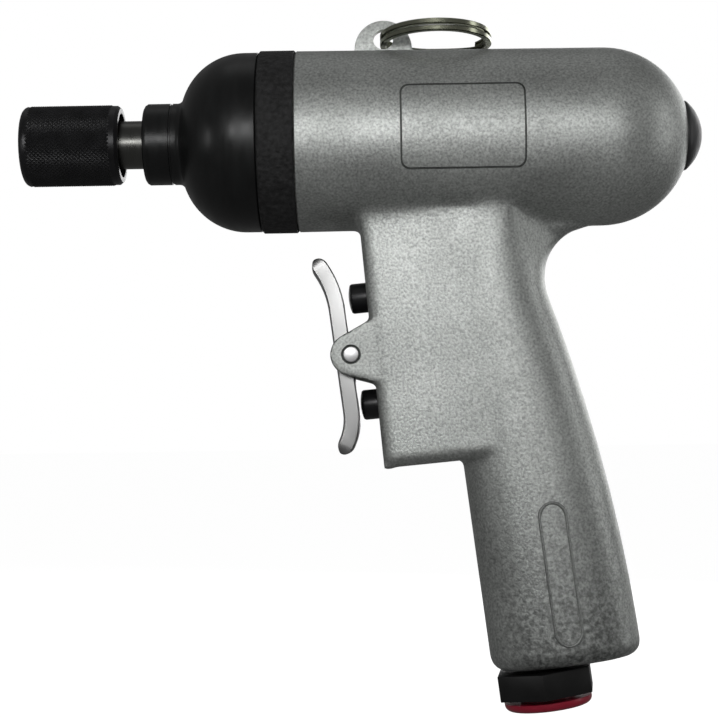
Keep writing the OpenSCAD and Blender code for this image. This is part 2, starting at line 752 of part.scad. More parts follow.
// A sector along X whose middle points up, turned about the axis by an angle
module sector_bar(x0, x1, outer, inner, half, turn) {
    rotate([turn, 0, 0]) translate([x0, 0, 0]) rotate([0, -90, 0]) mirror([0, 0, 1])
        linear_extrude(x1 - x0) sector(outer, inner, half);
}

// Hammer cage: two discs joined by two struts, driven by the rotor's hexagon
module hammer_cage() {
    color([0.4, 0.4, 0.42]) placed() difference() {
        union() {
            turned() polygon([[0, cage_x0], [cage_d / 2 - cage_edge, cage_x0],
                [cage_d / 2, cage_x0 + cage_edge], [cage_d / 2, cage_x0 + cage_disc_t],
                [0, cage_x0 + cage_disc_t]]);
            bar(cage_x1 - cage_disc_t, cage_x1, cage_d, 96);
            for (turn = [90, -90])
                sector_bar(cage_x0 + cage_edge, cage_x1, cage_d, cage_strut_in_d,
                    cage_strut_half, turn);
        }
        bar(cage_x0 - cut, cage_x0 + cage_disc_t + cut, cage_eye_d);
        hex_bar(cage_x1 - cage_disc_t - cut, cage_x1 + cut, drive_af + 2 * run_gap);
        for (turn = [0, 180]) rotate([turn, 0, 0]) translate([0, 0, dog_pin_r])
            bar(cage_x0 + free_gap, cage_x1 - free_gap, dog_pin_d + 2 * seat_gap, 32);
    }
}

// Pins that the two hammer dogs rock on
module hammer_pins() {
    color([0.7, 0.7, 0.72]) placed() for (turn = [0, 180]) rotate([turn, 0, 0])
        translate([0, 0, dog_pin_r]) bar(cage_x0 + free_gap, cage_x1 - free_gap, dog_pin_d, 32);
}

// A swinging hammer dog, bored for its pin
module hammer_dog(turn) {
    x0 = cage_x0 + cage_disc_t + free_gap;
    x1 = cage_x1 - cage_disc_t - free_gap;
    difference() {
        sector_bar(x0, x1, dog_out_d, dog_in_d, dog_half, turn);
        rotate([turn, 0, 0]) translate([0, 0, dog_pin_r])
            bar(x0 - cut, x1 + cut, dog_pin_d + 2 * run_gap, 32);
    }
}

module upper_hammer_dog() { color([0.35, 0.35, 0.37]) placed() hammer_dog(0); }

module lower_hammer_dog() { color([0.35, 0.35, 0.37]) placed() hammer_dog(180); }

// Anvil: struck by the dogs at its two ears, it carries the chuck and the hex socket
module anvil() {
    ear_x1 = cage_x1 - cage_disc_t - 2 * free_gap;
    color([0.66, 0.66, 0.66]) placed() difference() {
        union() {
            turned(64) polygon([[0, shaft_x0], [shaft_d / 2 - run_gap - free_gap, shaft_x0],
                [shaft_d / 2, shaft_x0 + 2 * free_gap], [shaft_d / 2, anvil_flange_x],
                [anvil_flange_d / 2, anvil_flange_x], [anvil_flange_d / 2, anvil_flange_x + anvil_flange_t],
                [anvil_body_d / 2, anvil_flange_x + anvil_flange_t], [anvil_body_d / 2, ear_x1],
                [0, ear_x1]]);
            for (turn = [90, -90]) sector_bar(cage_x0 + cage_disc_t + free_gap, ear_x1,
                ear_out_d, anvil_body_d - 2 * free_gap, anvil_ear_half, turn);
            bar(ear_x1 - cut, cage_x1 + pilot_len - free_gap, pilot_d);
        }
        hex_bar(shaft_x0 - cut, shaft_x0 + bit_depth, bit_af);
        translate([ball_x, 0, 0]) cylinder(h = shaft_d, d = ball_d + 2 * run_gap, $fn = 48);
        pipe(clip_x0, clip_x0 + clip_t + 2 * seat_gap, shaft_d + cut, clip_groove_d);
    }
}

// Knurled sleeve: pulled forward, it frees the locking ball
module bit_sleeve() {
    cone_x1 = sleeve_x1 - rear_cup_len - guide_len;
    cone_d = land_d + 2 * lock_share * (cone_x1 - land_edge_x);
    color([0.05, 0.05, 0.055]) placed() turned() difference() {
        union() {
            translate([0, sleeve_x0 + sleeve_edge_r])
                square([sleeve_d / 2, sleeve_len - sleeve_edge_r - sleeve_rim_chamfer]);
            translate([0, sleeve_x0]) square([sleeve_d / 2 - sleeve_edge_r, sleeve_len]);
            translate([sleeve_d / 2 - sleeve_edge_r, sleeve_x0 + sleeve_edge_r])
                circle(r = sleeve_edge_r, $fn = 48);
            polygon([[0, sleeve_x1 - sleeve_rim_chamfer], [sleeve_d / 2, sleeve_x1 - sleeve_rim_chamfer],
                [sleeve_d / 2 - sleeve_rim_chamfer, sleeve_x1], [0, sleeve_x1]]);
        }
        translate([-cut, sleeve_x0 - cut]) square([chamber_d / 2 + cut, spring_x1 - sleeve_x0 + cut]);
        translate([-cut, spring_x1 - cut]) square([land_d / 2 + cut, sleeve_x1 - spring_x1 + 2 * cut]);
        polygon([[0, land_edge_x], [land_d / 2, land_edge_x], [cone_d / 2, cone_x1], [0, cone_x1]]);
        translate([-cut, sleeve_x1 - rear_cup_len]) square([rear_cup_d / 2 + cut, rear_cup_len + cut]);
    }
}

// Points of a coil about the X axis; each ring is square to the helix
function coil_point(x, r, a) = [x, r * sin(a), r * cos(a)];
function coil_ring(x, r, a, wire, sides) = [for (i = [0:sides - 1]) let (t = 360 * i / sides)
    coil_point(x + wire / 2 * cos(t), r + wire / 2 * sin(t), a)];
module coil(x0, x1, r, wire, curls) {
    steps = 8 * curls;
    start = x0 + wire / 2;
    run = x1 - x0 - wire;
    skin([for (k = [0:steps]) coil_ring(start + run * k / steps, r, 360 * k / 8, wire, 6)]);
}

sleeve_spring_r = (chamber_d + shaft_d) / 4;
echo(least_gap_sleeve_spring = (spring_x1 - spring_x0 - sleeve_wire_d) / sleeve_curls - sleeve_wire_d);

// Spring that holds the sleeve back
module sleeve_spring() {
    color([0.7, 0.7, 0.72]) placed() coil(spring_x0 + seat_gap, spring_x1 - seat_gap, sleeve_spring_r,
        sleeve_wire_d, sleeve_curls);
}

// Washer that the sleeve's spring pushes on
module sleeve_washer() {
    color([0.6, 0.6, 0.62]) placed() pipe(washer_x0, washer_x0 + washer_t, chamber_d - 2 * free_gap,
        shaft_d + 2 * run_gap);
}

// Spring clip in the anvil's groove, open at one side
module sleeve_clip() {
    color([0.5, 0.5, 0.52]) placed() difference() {
        pipe(clip_x0 + seat_gap / 2, clip_x0 + clip_t, clip_d, clip_groove_d + 2 * seat_gap);
        translate([clip_x0 - cut, -clip_t, 0]) cube([clip_t + 2 * cut, 2 * clip_t, clip_d]);
    }
}

// Ball that the sleeve presses into the bit's groove
module lock_ball() {
    color([0.8, 0.8, 0.82]) placed() translate([ball_x, 0, ball_z]) sphere(d = ball_d, $fn = 48);
}

// Split ring: two turns of flat wire that cross from one plane to the other
ring_r = (ring_d - ring_wire_w) / 2;
ring_turns = 2;
ring_step = 15;
function ring_lift(a) = let (t = min(1, max(0, (a - 300) / 90))) ring_pitch * t * t * (3 - 2 * t);
function ring_section(a) = [for (i = [0:5]) let (t = 60 * i + 30)
    let (r = ring_r + ring_wire_w / 2 * cos(t) / cos(30), h = ring_wire_t / 2 * sin(t))
    [r * cos(a + 60), r * sin(a + 60), ring_lift(a) - ring_pitch / 2 + h]];
ring_angles = [for (a = [0:ring_step:360 * ring_turns - ring_step]) a];
echo(least_gap_split_ring = ring_pitch - ring_wire_t);

module split_ring() {
    color([0.62, 0.62, 0.5]) placed() translate([lug_x, 0, lug_hole_z - ring_drop])
        rotate([-ring_tilt, 0, 0]) translate([ring_r, 0, 0])
        skin([for (a = ring_angles) ring_section(a)]);
}

// Centre line of the lever, by distance below its hub: straight in the middle, curled at both ends
lever_top_d = lever_len * lever_top_share;
lever_low_d = lever_len - lever_top_d;
function lever_at(d) = [-lever_out + d * tan(lever_lean)
    - (d < 0 ? fillet_rise(lever_top_r, -d - lever_top_d + lever_top_len)
        : fillet_rise(lever_low_r, d - lever_low_d + lever_low_len)), -pivot_drop - d];
function lever_way(d) = let (a = lever_at(d - free_gap), b = lever_at(d + free_gap)) (b - a) / norm(b - a);

// Section of the lever: a flat back, straight sides and a crowned finger face
lever_crown = lever_crown_r - sqrt(pow(lever_crown_r, 2) - pow(lever_w / 2, 2));
function lever_section(d, shrink) =
    let (c = lever_at(d), t = lever_way(d), n = [-t[1], t[0]], edge = asin(lever_w / 2 / lever_crown_r))
    [for (p = concat([[lever_t / 2, -lever_w / 2], [lever_t / 2, lever_w / 2]],
            [for (k = [0:12]) let (a = edge - 2 * edge * k / 12)
                [lever_crown_r * (1 - cos(a)) - lever_t / 2, lever_crown_r * sin(a)]]))
        [c[0] + n[0] * p[0] * shrink, p[1] * (lever_w - lever_t * (1 - shrink) / 2) / lever_w,
            c[1] + n[1] * p[0] * shrink]];
lever_end = lever_t / 2;
function lever_rings() = concat(
    [for (k = [0:4]) let (a = 18 * (k + 1))
        lever_section(lever_end * (1 - cos(a)) - lever_top_d, sin(a))],
    [for (k = [1:16]) lever_section(lever_end - lever_top_d + (lever_len - 2 * lever_end) * k / 16, 1)],
    [for (k = [1:4]) let (a = 90 - 18 * k)
        lever_section(lever_low_d - lever_end * (1 - cos(a)), sin(a))]);

// Rocking trigger lever with a crowned finger face and a hub for its pin
module trigger_lever() {
    color([0.85, 0.85, 0.85]) placed() on_face() difference() {
        union() {
            skin(lever_rings());
            translate([-pivot_out, lever_w / 2, -pivot_drop]) rotate([90, 0, 0])
                cylinder(h = lever_w, r = lever_boss_r, $fn = 48);
        }
        translate([-pivot_out, lever_w, -pivot_drop]) rotate([90, 0, 0])
            cylinder(h = 2 * lever_w, d = pin_d + 2 * run_gap, $fn = 48);
    }
}

// Pin that the lever rocks on, fixed in the ears
module trigger_pin() {
    color([0.6, 0.6, 0.6]) placed() on_face() translate([-pivot_out, block_w / 2 - 2 * run_gap, -pivot_drop])
        rotate([90, 0, 0]) cylinder(h = block_w - 4 * run_gap, d = pin_d, $fn = 48);
}

// Domed push button, along its valve's axis
module button(drop, out) {
    on_face() translate([0, 0, -drop]) intersection() {
        turned(48) polygon([[0, -out], [button_d / 2 - button_edge, -out],
            [button_d / 2, button_edge - out], [button_d / 2, button_len], [0, button_len]]);
        translate([button_dome_r - out, 0, 0]) sphere(r = button_dome_r, $fn = 96);
    }
}

module upper_button() { color([0.05, 0.05, 0.05]) placed() button(upper_drop, upper_out); }

module lower_button() { color([0.05, 0.05, 0.05]) placed() button(lower_drop, lower_out); }

// Valve stem with its grooved spool
module valve_stem(drop) {
    seal_x = spool_x + spool_len / 2;
    on_face() translate([0, 0, -drop]) turned(48) difference() {
        union() {
            translate([0, button_len]) square([stem_d / 2, spool_x - button_len]);
            translate([0, spool_x]) square([button_d / 2, spool_len]);
        }
        translate([groove_d / 2, seal_x - groove_w / 2]) square([button_d, groove_w]);
    }
}

module upper_valve_stem() { color([0.75, 0.6, 0.3]) placed() valve_stem(upper_drop); }

module lower_valve_stem() { color([0.75, 0.6, 0.3]) placed() valve_stem(lower_drop); }

// Rubber ring in the spool's groove
module stem_seal(drop) {
    on_face() translate([0, 0, -drop]) turned(48)
        translate([(guide_d + groove_d) / 4, spool_x + spool_len / 2])
        circle(d = seal_wire_d, $fn = 32);
}

module upper_stem_seal() { color([0.1, 0.1, 0.1]) placed() stem_seal(upper_drop); }

module lower_stem_seal() { color([0.1, 0.1, 0.1]) placed() stem_seal(lower_drop); }

// Brass bushings that guide the buttons and spools
module valve_bushings() {
    color([0.75, 0.6, 0.3]) placed() for (drop = [upper_drop, lower_drop]) on_face()
        translate([0, 0, -drop]) difference() {
            pipe(valve_setback, valve_setback + valve_len, valve_d, guide_d);
            for (k = [0, 1]) translate([port_x + port_pitch * k, 0, -valve_d])
                cylinder(h = 2 * valve_d, d = port_d, $fn = 32);
        }
}

valve_spring_x0 = spool_x + spool_len + seat_gap;
valve_spring_x1 = valve_setback + valve_len - seat_gap;
valve_pitch = (valve_spring_x1 - valve_spring_x0 - valve_wire_d) / valve_curls;
echo(least_gap_valve_spring = valve_pitch - valve_wire_d);

// Springs that push the spools and buttons out
module valve_spring(drop) {
    on_face() translate([0, 0, -drop])
        coil(valve_spring_x0, valve_spring_x1, valve_spring_r, valve_wire_d, valve_curls);
}

module upper_valve_spring() { color([0.7, 0.7, 0.72]) placed() valve_spring(upper_drop); }

module lower_valve_spring() { color([0.7, 0.7, 0.72]) placed() valve_spring(lower_drop); }

// Caps behind the bushings, each with a post that centres the spring
module valve_caps() {
    x0 = valve_setback + valve_len;
    color([0.7, 0.6, 0.35]) placed() for (drop = [upper_drop, lower_drop]) on_face()
        translate([0, 0, -drop]) {
            bar(x0, x0 + cap_t, valve_d);
            bar(x0 - cap_post_len, x0 + cap_t / 2, cap_post_d, 32);
        }
}

// Hexagonal inlet bushing, screwed into the grip's foot
module inlet_bushing() {
    color([0.06, 0.06, 0.06]) placed() on_grip() translate([0, 0, -grip_len]) difference() {
        union() {
            intersection() {
                rotate([0, 0, inlet_turn - 90]) translate([0, 0, -inlet_h])
                    cylinder(h = inlet_h, d = inlet_af / cos(30), $fn = 6);
                rotate_extrude($fn = 96) polygon([[0, -inlet_h],
                    [inlet_af / cos(30) / 2 - inlet_chamfer, -inlet_h],
                    [inlet_af / cos(30) / 2, inlet_chamfer / 2 - inlet_h],
                    [inlet_af / cos(30) / 2, -inlet_chamfer / 2],
                    [inlet_af / cos(30) / 2 - inlet_chamfer, 0], [0, 0]]);
            }
            cylinder(h = thread_len - free_gap, d = thread_d, $fn = 64);
        }
        translate([0, 0, -inlet_h - cut])
            cylinder(h = inlet_mouth_len + cut, d = inlet_mouth_d, $fn = 64);
        translate([0, 0, -inlet_h - cut])
            cylinder(h = inlet_mouth_len + inlet_thread_len + cut, d = inlet_thread_d, $fn = 64);
        translate([0, 0, -inlet_h]) cylinder(h = inlet_h + thread_len, d = inlet_hole_d, $fn = 48);
    }
}

// Perforated disc that keeps grit out of the valves
module inlet_screen() {
    color([0.75, 0.7, 0.5]) placed() on_grip()
        translate([0, 0, inlet_mouth_len + inlet_thread_len - inlet_h - grip_len - screen_t])
        difference() {
            cylinder(h = screen_t, d = inlet_thread_d - 2 * seat_gap, $fn = 64);
            for (k = [0:5]) rotate([0, 0, 60 * k]) translate([inlet_hole_d / 4 + screen_hole_d / 2, 0, -cut])
                cylinder(h = screen_t + 2 * cut, d = screen_hole_d, $fn = 16);
            translate([0, 0, -cut]) cylinder(h = screen_t + 2 * cut, d = screen_hole_d, $fn = 16);
        }
}

// Sintered silencer in the exhaust port of the grip's foot
module exhaust_silencer() {
    color([0.5, 0.42, 0.25]) placed() on_grip() translate([exhaust_u, 0, silencer_recess - grip_len])
        difference() {
            cylinder(h = silencer_t - seat_gap, d = silencer_d, $fn = 48);
            for (k = [0:5]) rotate([0, 0, 60 * k]) translate([silencer_d / 4, 0, -cut])
                cylinder(h = silencer_t, d = screen_hole_d, $fn = 16);
        }
}

// Dust plug pushed into the mouth of the inlet
module dust_plug() {
    color([0.75, 0.1, 0.15]) placed() on_grip() translate([0, 0, -grip_len - inlet_h - 2 * run_gap]) {
        translate([0, 0, -plug_flange_t]) cylinder(h = plug_flange_t, d = plug_flange_d, $fn = 64);
        cylinder(h = plug_spigot_len, d = inlet_mouth_d - 4 * run_gap, $fn = 64);
    }
}

motor_housing();
hammer_case();
coupling_band();
anvil_bushing();
thrust_washer();
case_gasket();
front_end_plate();
front_bearing_outer();
front_bearing_inner();
front_bearing_balls();
cylinder_liner();
rear_end_plate();
rear_bearing_outer();
rear_bearing_inner();
rear_bearing_balls();
locating_pin();
preload_washer();
rear_plug();
rotor();
rotor_vanes();
hammer_cage();
hammer_pins();
upper_hammer_dog();
lower_hammer_dog();
anvil();
bit_sleeve();
sleeve_spring();
sleeve_washer();
sleeve_clip();
lock_ball();
split_ring();
trigger_lever();
trigger_pin();
upper_button();
upper_valve_stem();
upper_stem_seal();
lower_button();
lower_valve_stem();
lower_stem_seal();
valve_bushings();
upper_valve_spring();
lower_valve_spring();
valve_caps();
inlet_bushing();
inlet_screen();
exhaust_silencer();
dust_plug();
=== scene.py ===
import bpy
import math
from mathutils import Matrix, Vector


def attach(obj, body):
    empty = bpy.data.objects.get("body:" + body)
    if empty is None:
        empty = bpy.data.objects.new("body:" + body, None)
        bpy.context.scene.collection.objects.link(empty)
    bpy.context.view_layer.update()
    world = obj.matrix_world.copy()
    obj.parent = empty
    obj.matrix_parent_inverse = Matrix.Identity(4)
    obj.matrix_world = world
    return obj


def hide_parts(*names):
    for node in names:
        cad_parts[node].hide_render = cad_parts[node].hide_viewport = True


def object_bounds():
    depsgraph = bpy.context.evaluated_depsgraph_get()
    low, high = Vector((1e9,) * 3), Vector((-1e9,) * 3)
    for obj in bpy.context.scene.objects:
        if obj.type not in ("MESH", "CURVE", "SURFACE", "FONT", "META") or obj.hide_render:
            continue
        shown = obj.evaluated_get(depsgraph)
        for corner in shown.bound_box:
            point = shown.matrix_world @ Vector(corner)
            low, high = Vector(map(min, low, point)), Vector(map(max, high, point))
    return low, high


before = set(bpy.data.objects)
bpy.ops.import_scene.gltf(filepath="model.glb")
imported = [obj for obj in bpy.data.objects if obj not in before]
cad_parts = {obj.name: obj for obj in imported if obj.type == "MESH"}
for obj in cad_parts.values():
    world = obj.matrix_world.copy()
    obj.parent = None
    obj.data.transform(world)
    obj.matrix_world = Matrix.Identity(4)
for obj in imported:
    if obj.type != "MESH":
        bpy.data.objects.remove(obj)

cad_box = [list(p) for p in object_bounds()]
mm = 0.001

# ---------------------------------------------------------------------------
# Camera and studio.
# A long lens level with the trigger looks very slightly up at the tool. Soft
# lamps stand in front, left, above, right and behind; floor and air are white.
# ---------------------------------------------------------------------------
eye = (0.059396, -0.468355, -0.079139)      # both fitted to the photograph, in metres and degrees
gaze = (92.5003, 0.8392, 1.0366)
bpy.ops.object.select_all(action="DESELECT")
bpy.ops.object.camera_add(location=eye, rotation=[math.radians(a) for a in gaze])
camera = bpy.context.object
camera.data.sensor_width = 36
camera.data.lens = 87.744
camera.data.clip_start = 0.01
bpy.context.scene.camera = camera
bpy.context.scene.view_settings.view_transform = "Standard"


def soft_lamp(name, place, target, width, height, watts):
    """One rectangular studio lamp, aimed at a point of the tool."""
    bpy.ops.object.light_add(type="AREA", location=place)
    lamp = bpy.context.object
    lamp.name = name
    lamp.data.shape = "RECTANGLE"
    lamp.data.size, lamp.data.size_y = width, height
    lamp.data.energy = watts
    lamp.rotation_euler = (Vector(target) - Vector(place)).to_track_quat("-Z", "Y").to_euler()


def join_up(tree, *pairs):
    """Link sockets of one node tree, each pair from an output to an input."""
    for source, target in pairs:
        tree.links.new(source, target)


def map_range(tree, low, high, to_low, to_high):
    """A Map Range node with its four limits set."""
    node = tree.nodes.new("ShaderNodeMapRange")
    for socket, value in zip(("From Min", "From Max", "To Min", "To Max"),
                             (low, high, to_low, to_high)):
        node.inputs[socket].default_value = value
    return node


tool_middle = (0.055, 0.0, -0.05)
soft_lamp("front_softbox", (0.01, -0.50, 0.066), (0.04, 0.0, 0.0), 0.36, 0.12, 1.12)
soft_lamp("left_strip", (-0.84, -0.46, 0.03), (0.02, 0.0, 0.0), 0.09, 0.20, 0.45)
soft_lamp("top_softbox", (0.05, 0.20, 0.95), tool_middle, 0.80, 0.40, 0.35)
soft_lamp("right_fill", (0.95, -0.10, 0.10), tool_middle, 0.20, 0.70, 1.10)
soft_lamp("back_softbox", (0.45, 0.75, 0.16), (0.05, 0.0, -0.04), 0.80, 0.50, 3.4)

sky = bpy.data.worlds.new("studio_air")
bpy.context.scene.world = sky
sky.use_nodes = True
air = sky.node_tree
air.nodes.clear()
path = air.nodes.new("ShaderNodeLightPath")
way = air.nodes.new("ShaderNodeTexCoord")
split = air.nodes.new("ShaderNodeSeparateXYZ")
overhead = map_range(air, -0.5, 0.8, 0.13, 0.16)
seen = air.nodes.new("ShaderNodeMath")
seen.operation = "MAXIMUM"
mirrored = air.nodes.new("ShaderNodeBackground")
straight = air.nodes.new("ShaderNodeBackground")
straight.inputs["Strength"].default_value = 1.0
ambient = air.nodes.new("ShaderNodeBackground")
ambient.inputs["Strength"].default_value = 0.34
for back in (mirrored, straight, ambient):
    back.inputs["Color"].default_value = (1.0, 1.0, 1.0, 1.0)
mix_a = air.nodes.new("ShaderNodeMixShader")
mix_b = air.nodes.new("ShaderNodeMixShader")
out = air.nodes.new("ShaderNodeOutputWorld")
join_up(air, (way.outputs["Generated"], split.inputs[0]),
        (split.outputs["Z"], overhead.inputs["Value"]),
        (overhead.outputs["Result"], mirrored.inputs["Strength"]),
        (path.outputs["Is Glossy Ray"], seen.inputs[0]),
        (path.outputs["Is Transmission Ray"], seen.inputs[1]), (seen.outputs[0], mix_a.inputs[0]),
        (ambient.outputs[0], mix_a.inputs[1]), (mirrored.outputs[0], mix_a.inputs[2]),
        (path.outputs["Is Camera Ray"], mix_b.inputs[0]), (mix_a.outputs[0], mix_b.inputs[1]),
        (straight.outputs[0], mix_b.inputs[2]), (mix_b.outputs[0], out.inputs["Surface"]))

# the floor lies a plug's travel below the tool, so that the pulled plug stays in sight
floor_drop = 0.045
bpy.ops.mesh.primitive_plane_add(size=30, location=(0, 0, cad_box[0][2] - floor_drop))
floor = bpy.context.object
floor.name = "studio_floor"
paper = bpy.data.materials.new("floor_paper")
paper.use_nodes = True
net = paper.node_tree
net.nodes.clear()
lit = net.nodes.new("ShaderNodeBsdfDiffuse")
lit.inputs["Color"].default_value = (0.26, 0.26, 0.26, 1)
glow = net.nodes.new("ShaderNodeEmission")
path = net.nodes.new("ShaderNodeLightPath")
gain = net.nodes.new("ShaderNodeMath")
gain.operation = "MULTIPLY"
gain.inputs[1].default_value = 0.90
both = net.nodes.new("ShaderNodeAddShader")
out = net.nodes.new("ShaderNodeOutputMaterial")
join_up(net, (path.outputs["Is Camera Ray"], gain.inputs[0]),
        (gain.outputs[0], glow.inputs["Strength"]),
        (lit.outputs[0], both.inputs[0]), (glow.outputs[0], both.inputs[1]),
        (both.outputs[0], out.inputs["Surface"]))
floor.data.materials.append(paper)
floor.visible_glossy = False

# ---------------------------------------------------------------------------
# One-piece casting: barrel with its rear dome, grip, trigger block, two ears
# and the hanging lug. Blasted aluminium, cast with soft fillets where the forms
# meet, then bored for the motor, the valves, the air inlet and the exhaust.
# ---------------------------------------------------------------------------
nose = 5.3          # the frame's origin lies this far behind the nose's front face, in mm


def rest():
    """Leave edit mode and let go of everything that is selected."""
    if bpy.context.object and bpy.context.object.mode != "OBJECT":
        bpy.ops.object.mode_set(mode="OBJECT")
    bpy.ops.object.select_all(action="DESELECT")


def pick(piece):
    """Make it the one selected and active piece."""
    rest()
    piece.select_set(True)
    bpy.context.view_layer.objects.active = piece


def settle(piece):
    """Put the piece's place into its mesh, with faces outward."""
    pick(piece)
    bpy.ops.object.transform_apply(location=True, rotation=True, scale=True)
    bpy.ops.object.mode_set(mode="EDIT")
    bpy.ops.mesh.select_all(action="SELECT")
    bpy.ops.mesh.remove_doubles(threshold=2e-6)
    bpy.ops.mesh.normals_make_consistent(inside=False)
    bpy.ops.object.mode_set(mode="OBJECT")
    return piece


def turned(name, outline, steps=96, closed=False):
    """A turned piece: the outline's stations (along X from the nose face, radius) are drawn
    by extruding one point, and spun about the spindle's axis."""
    rest()
    if closed:
        outline = list(outline) + [outline[0]]
    x, r = outline[0]
    bpy.ops.mesh.primitive_plane_add(size=1e-5, location=((x - nose) * mm, 0, r * mm))
    piece = bpy.context.object
    piece.name = name
    bpy.ops.object.mode_set(mode="EDIT")
    bpy.ops.mesh.select_all(action="SELECT")
    bpy.ops.mesh.merge(type="CENTER")
    for a, b in zip(outline, outline[1:]):
        bpy.ops.mesh.extrude_region_move(
            TRANSFORM_OT_translate={"value": ((b[0] - a[0]) * mm, 0, (b[1] - a[1]) * mm)})
    bpy.ops.mesh.select_all(action="SELECT")
    bpy.ops.mesh.spin(steps=steps, angle=2 * math.pi, center=(0, 0, 0), axis=(1, 0, 0))
    bpy.ops.object.mode_set(mode="OBJECT")
    return settle(piece)


def arc(cx, cr, radius, start, end, count):
    """Stations along a round of the outline; angles in degrees from +X towards outward."""
    return [(cx + radius * math.cos(math.radians(start + (end - start) * k / count)),
             cr + radius * math.sin(math.radians(start + (end - start) * k / count)))
            for k in range(count + 1)]


def lean_over(piece, x, degrees):
    """Tilt a piece about a Y line through (x, 0, 0), then leave it at the origin."""
    pick(piece)
    piece.matrix_world = (Matrix.Translation(((x - nose) * mm, 0, 0))
                          @ Matrix.Rotation(math.radians(-degrees), 4, "Y") @ piece.matrix_world)
    bpy.context.view_layer.update()
    return settle(piece)


def modify(piece, kind, **settings):
    """Add one modifier, set it and apply it."""
    pick(piece)
    change = piece.modifiers.new(kind.lower(), kind)
    for key, value in settings.items():
        setattr(change, key, value)
    bpy.ops.object.modifier_apply(modifier=change.name)


def carve(piece, *tools, operation="DIFFERENCE", keep_finish=False):
    """Boolean each tool with the piece, and throw the tool away."""
    for tool in tools:
        modify(piece, "BOOLEAN", object=tool, operation=operation, solver="EXACT",
               material_mode="TRANSFER" if keep_finish else "INDEX")
        bpy.data.objects.remove(tool)


def weld(*pieces):
    """Join pieces into the first one."""
    rest()
    for piece in pieces:
        piece.select_set(True)
    bpy.context.view_layer.objects.active = pieces[0]
    bpy.ops.object.join()
    return pieces[0]


def smooth(piece, degrees):
    """Shade smooth up to that angle between faces."""
    pick(piece)
    bpy.ops.object.shade_smooth_by_angle(angle=math.radians(degrees))


def chamfer(piece, width, segments, degrees):
    """Round every edge sharper than that angle; width in mm."""
    modify(piece, "BEVEL", width=width * mm, segments=segments, limit_method="ANGLE",
           angle_limit=math.radians(degrees))


def round_edges(piece, chosen, radius, segments):
    """Bevel the edges whose two ends pass a test; radius in mm."""
    pick(piece)
    bpy.ops.object.mode_set(mode="EDIT")
    bpy.ops.mesh.select_all(action="DESELECT")
    bpy.ops.object.mode_set(mode="OBJECT")
    for e in piece.data.edges:
        e.select = chosen(*(piece.data.vertices[i].co for i in e.vertices))
    bpy.ops.object.mode_set(mode="EDIT")
    bpy.ops.mesh.bevel(offset=radius * mm, segments=segments, affect="EDGES")
    bpy.ops.object.mode_set(mode="OBJECT")


def block(name, lo, hi):
    """A box from one corner to the other, in mm of the frame that it is later tilted in."""
    rest()
    size = [(b - a) * mm for a, b in zip(lo, hi)]
    middle = [(a + b) / 2 * mm for a, b in zip(lo, hi)]
    bpy.ops.mesh.primitive_cube_add(size=1, location=middle, scale=size)
    piece = bpy.context.object
    piece.name = name
    return settle(piece)


def rod(name, radius, start, end, sides=48):
    """A round bar between two places, in mm."""
    rest()
    a, b = Vector(start) * mm, Vector(end) * mm
    bpy.ops.mesh.primitive_cylinder_add(vertices=sides, radius=radius * mm, depth=(b - a).length,
                                        location=(a + b) / 2,
                                        rotation=(b - a).to_track_quat("Z", "Y").to_euler())
    piece = bpy.context.object
    piece.name = name
    return settle(piece)


def ramp(rise):
    """A rise held between 0 and 1."""
    return min(1, max(0, rise))


barrel_front, dome_start, barrel_r = 40.8, 122.4, 23.75
barrel = turned("housing_barrel", [(38, 0), (38, 24.2), (barrel_front, 24.2), (80, 23.98)]
                + arc(dome_start, 0, barrel_r, 90, 0, 24), 160)

# the grip is drawn upright, section by section, in its own tilted frame
grip_at, grip_lean, grip_long = 87.0, 7.0, 141.5
grip_front, grip_half, grip_foot_back = 13.6, 15.3, 26.1


def grip_back(w):
    """Distance from the grip's axis to its back, w mm down the axis: a long bow and the throat."""
    lean = math.radians(grip_lean)
    bow, throat = 420.0, 14.2
    cx = grip_at + (grip_foot_back - bow) * math.cos(lean) + grip_long * math.sin(lean)
    cd = grip_long * math.cos(lean) - (grip_foot_back - bow) * math.sin(lean)
    td = barrel_r + throat
    tx = cx + math.sqrt((bow + throat) ** 2 - (cd - td) ** 2)
    end = cd - (cd - td) * bow / (bow + throat)

    def back(d):
        if d < end:
            return tx - math.sqrt(max(0.0, throat ** 2 - (d - td) ** 2))
        return cx + math.sqrt(bow ** 2 - (d - cd) ** 2)
    u = 20.0
    for _ in range(30):
        d = w * math.cos(lean) - u * math.sin(lean)
        x = back(max(d, td - throat + 0.05))
        u = (x - grip_at - w * math.sin(lean)) / math.cos(lean)
    return u


def spread_at(w, half, radius):
    """How much a wall flares out as it runs up into the barrel."""
    start = math.sqrt((barrel_r + radius) ** 2 - (half + radius) ** 2)
    low = start * barrel_r / (barrel_r + radius)
    rise = start - max(w, low)
    return 0.0 if rise <= 0 else radius - math.sqrt(radius ** 2 - rise ** 2)


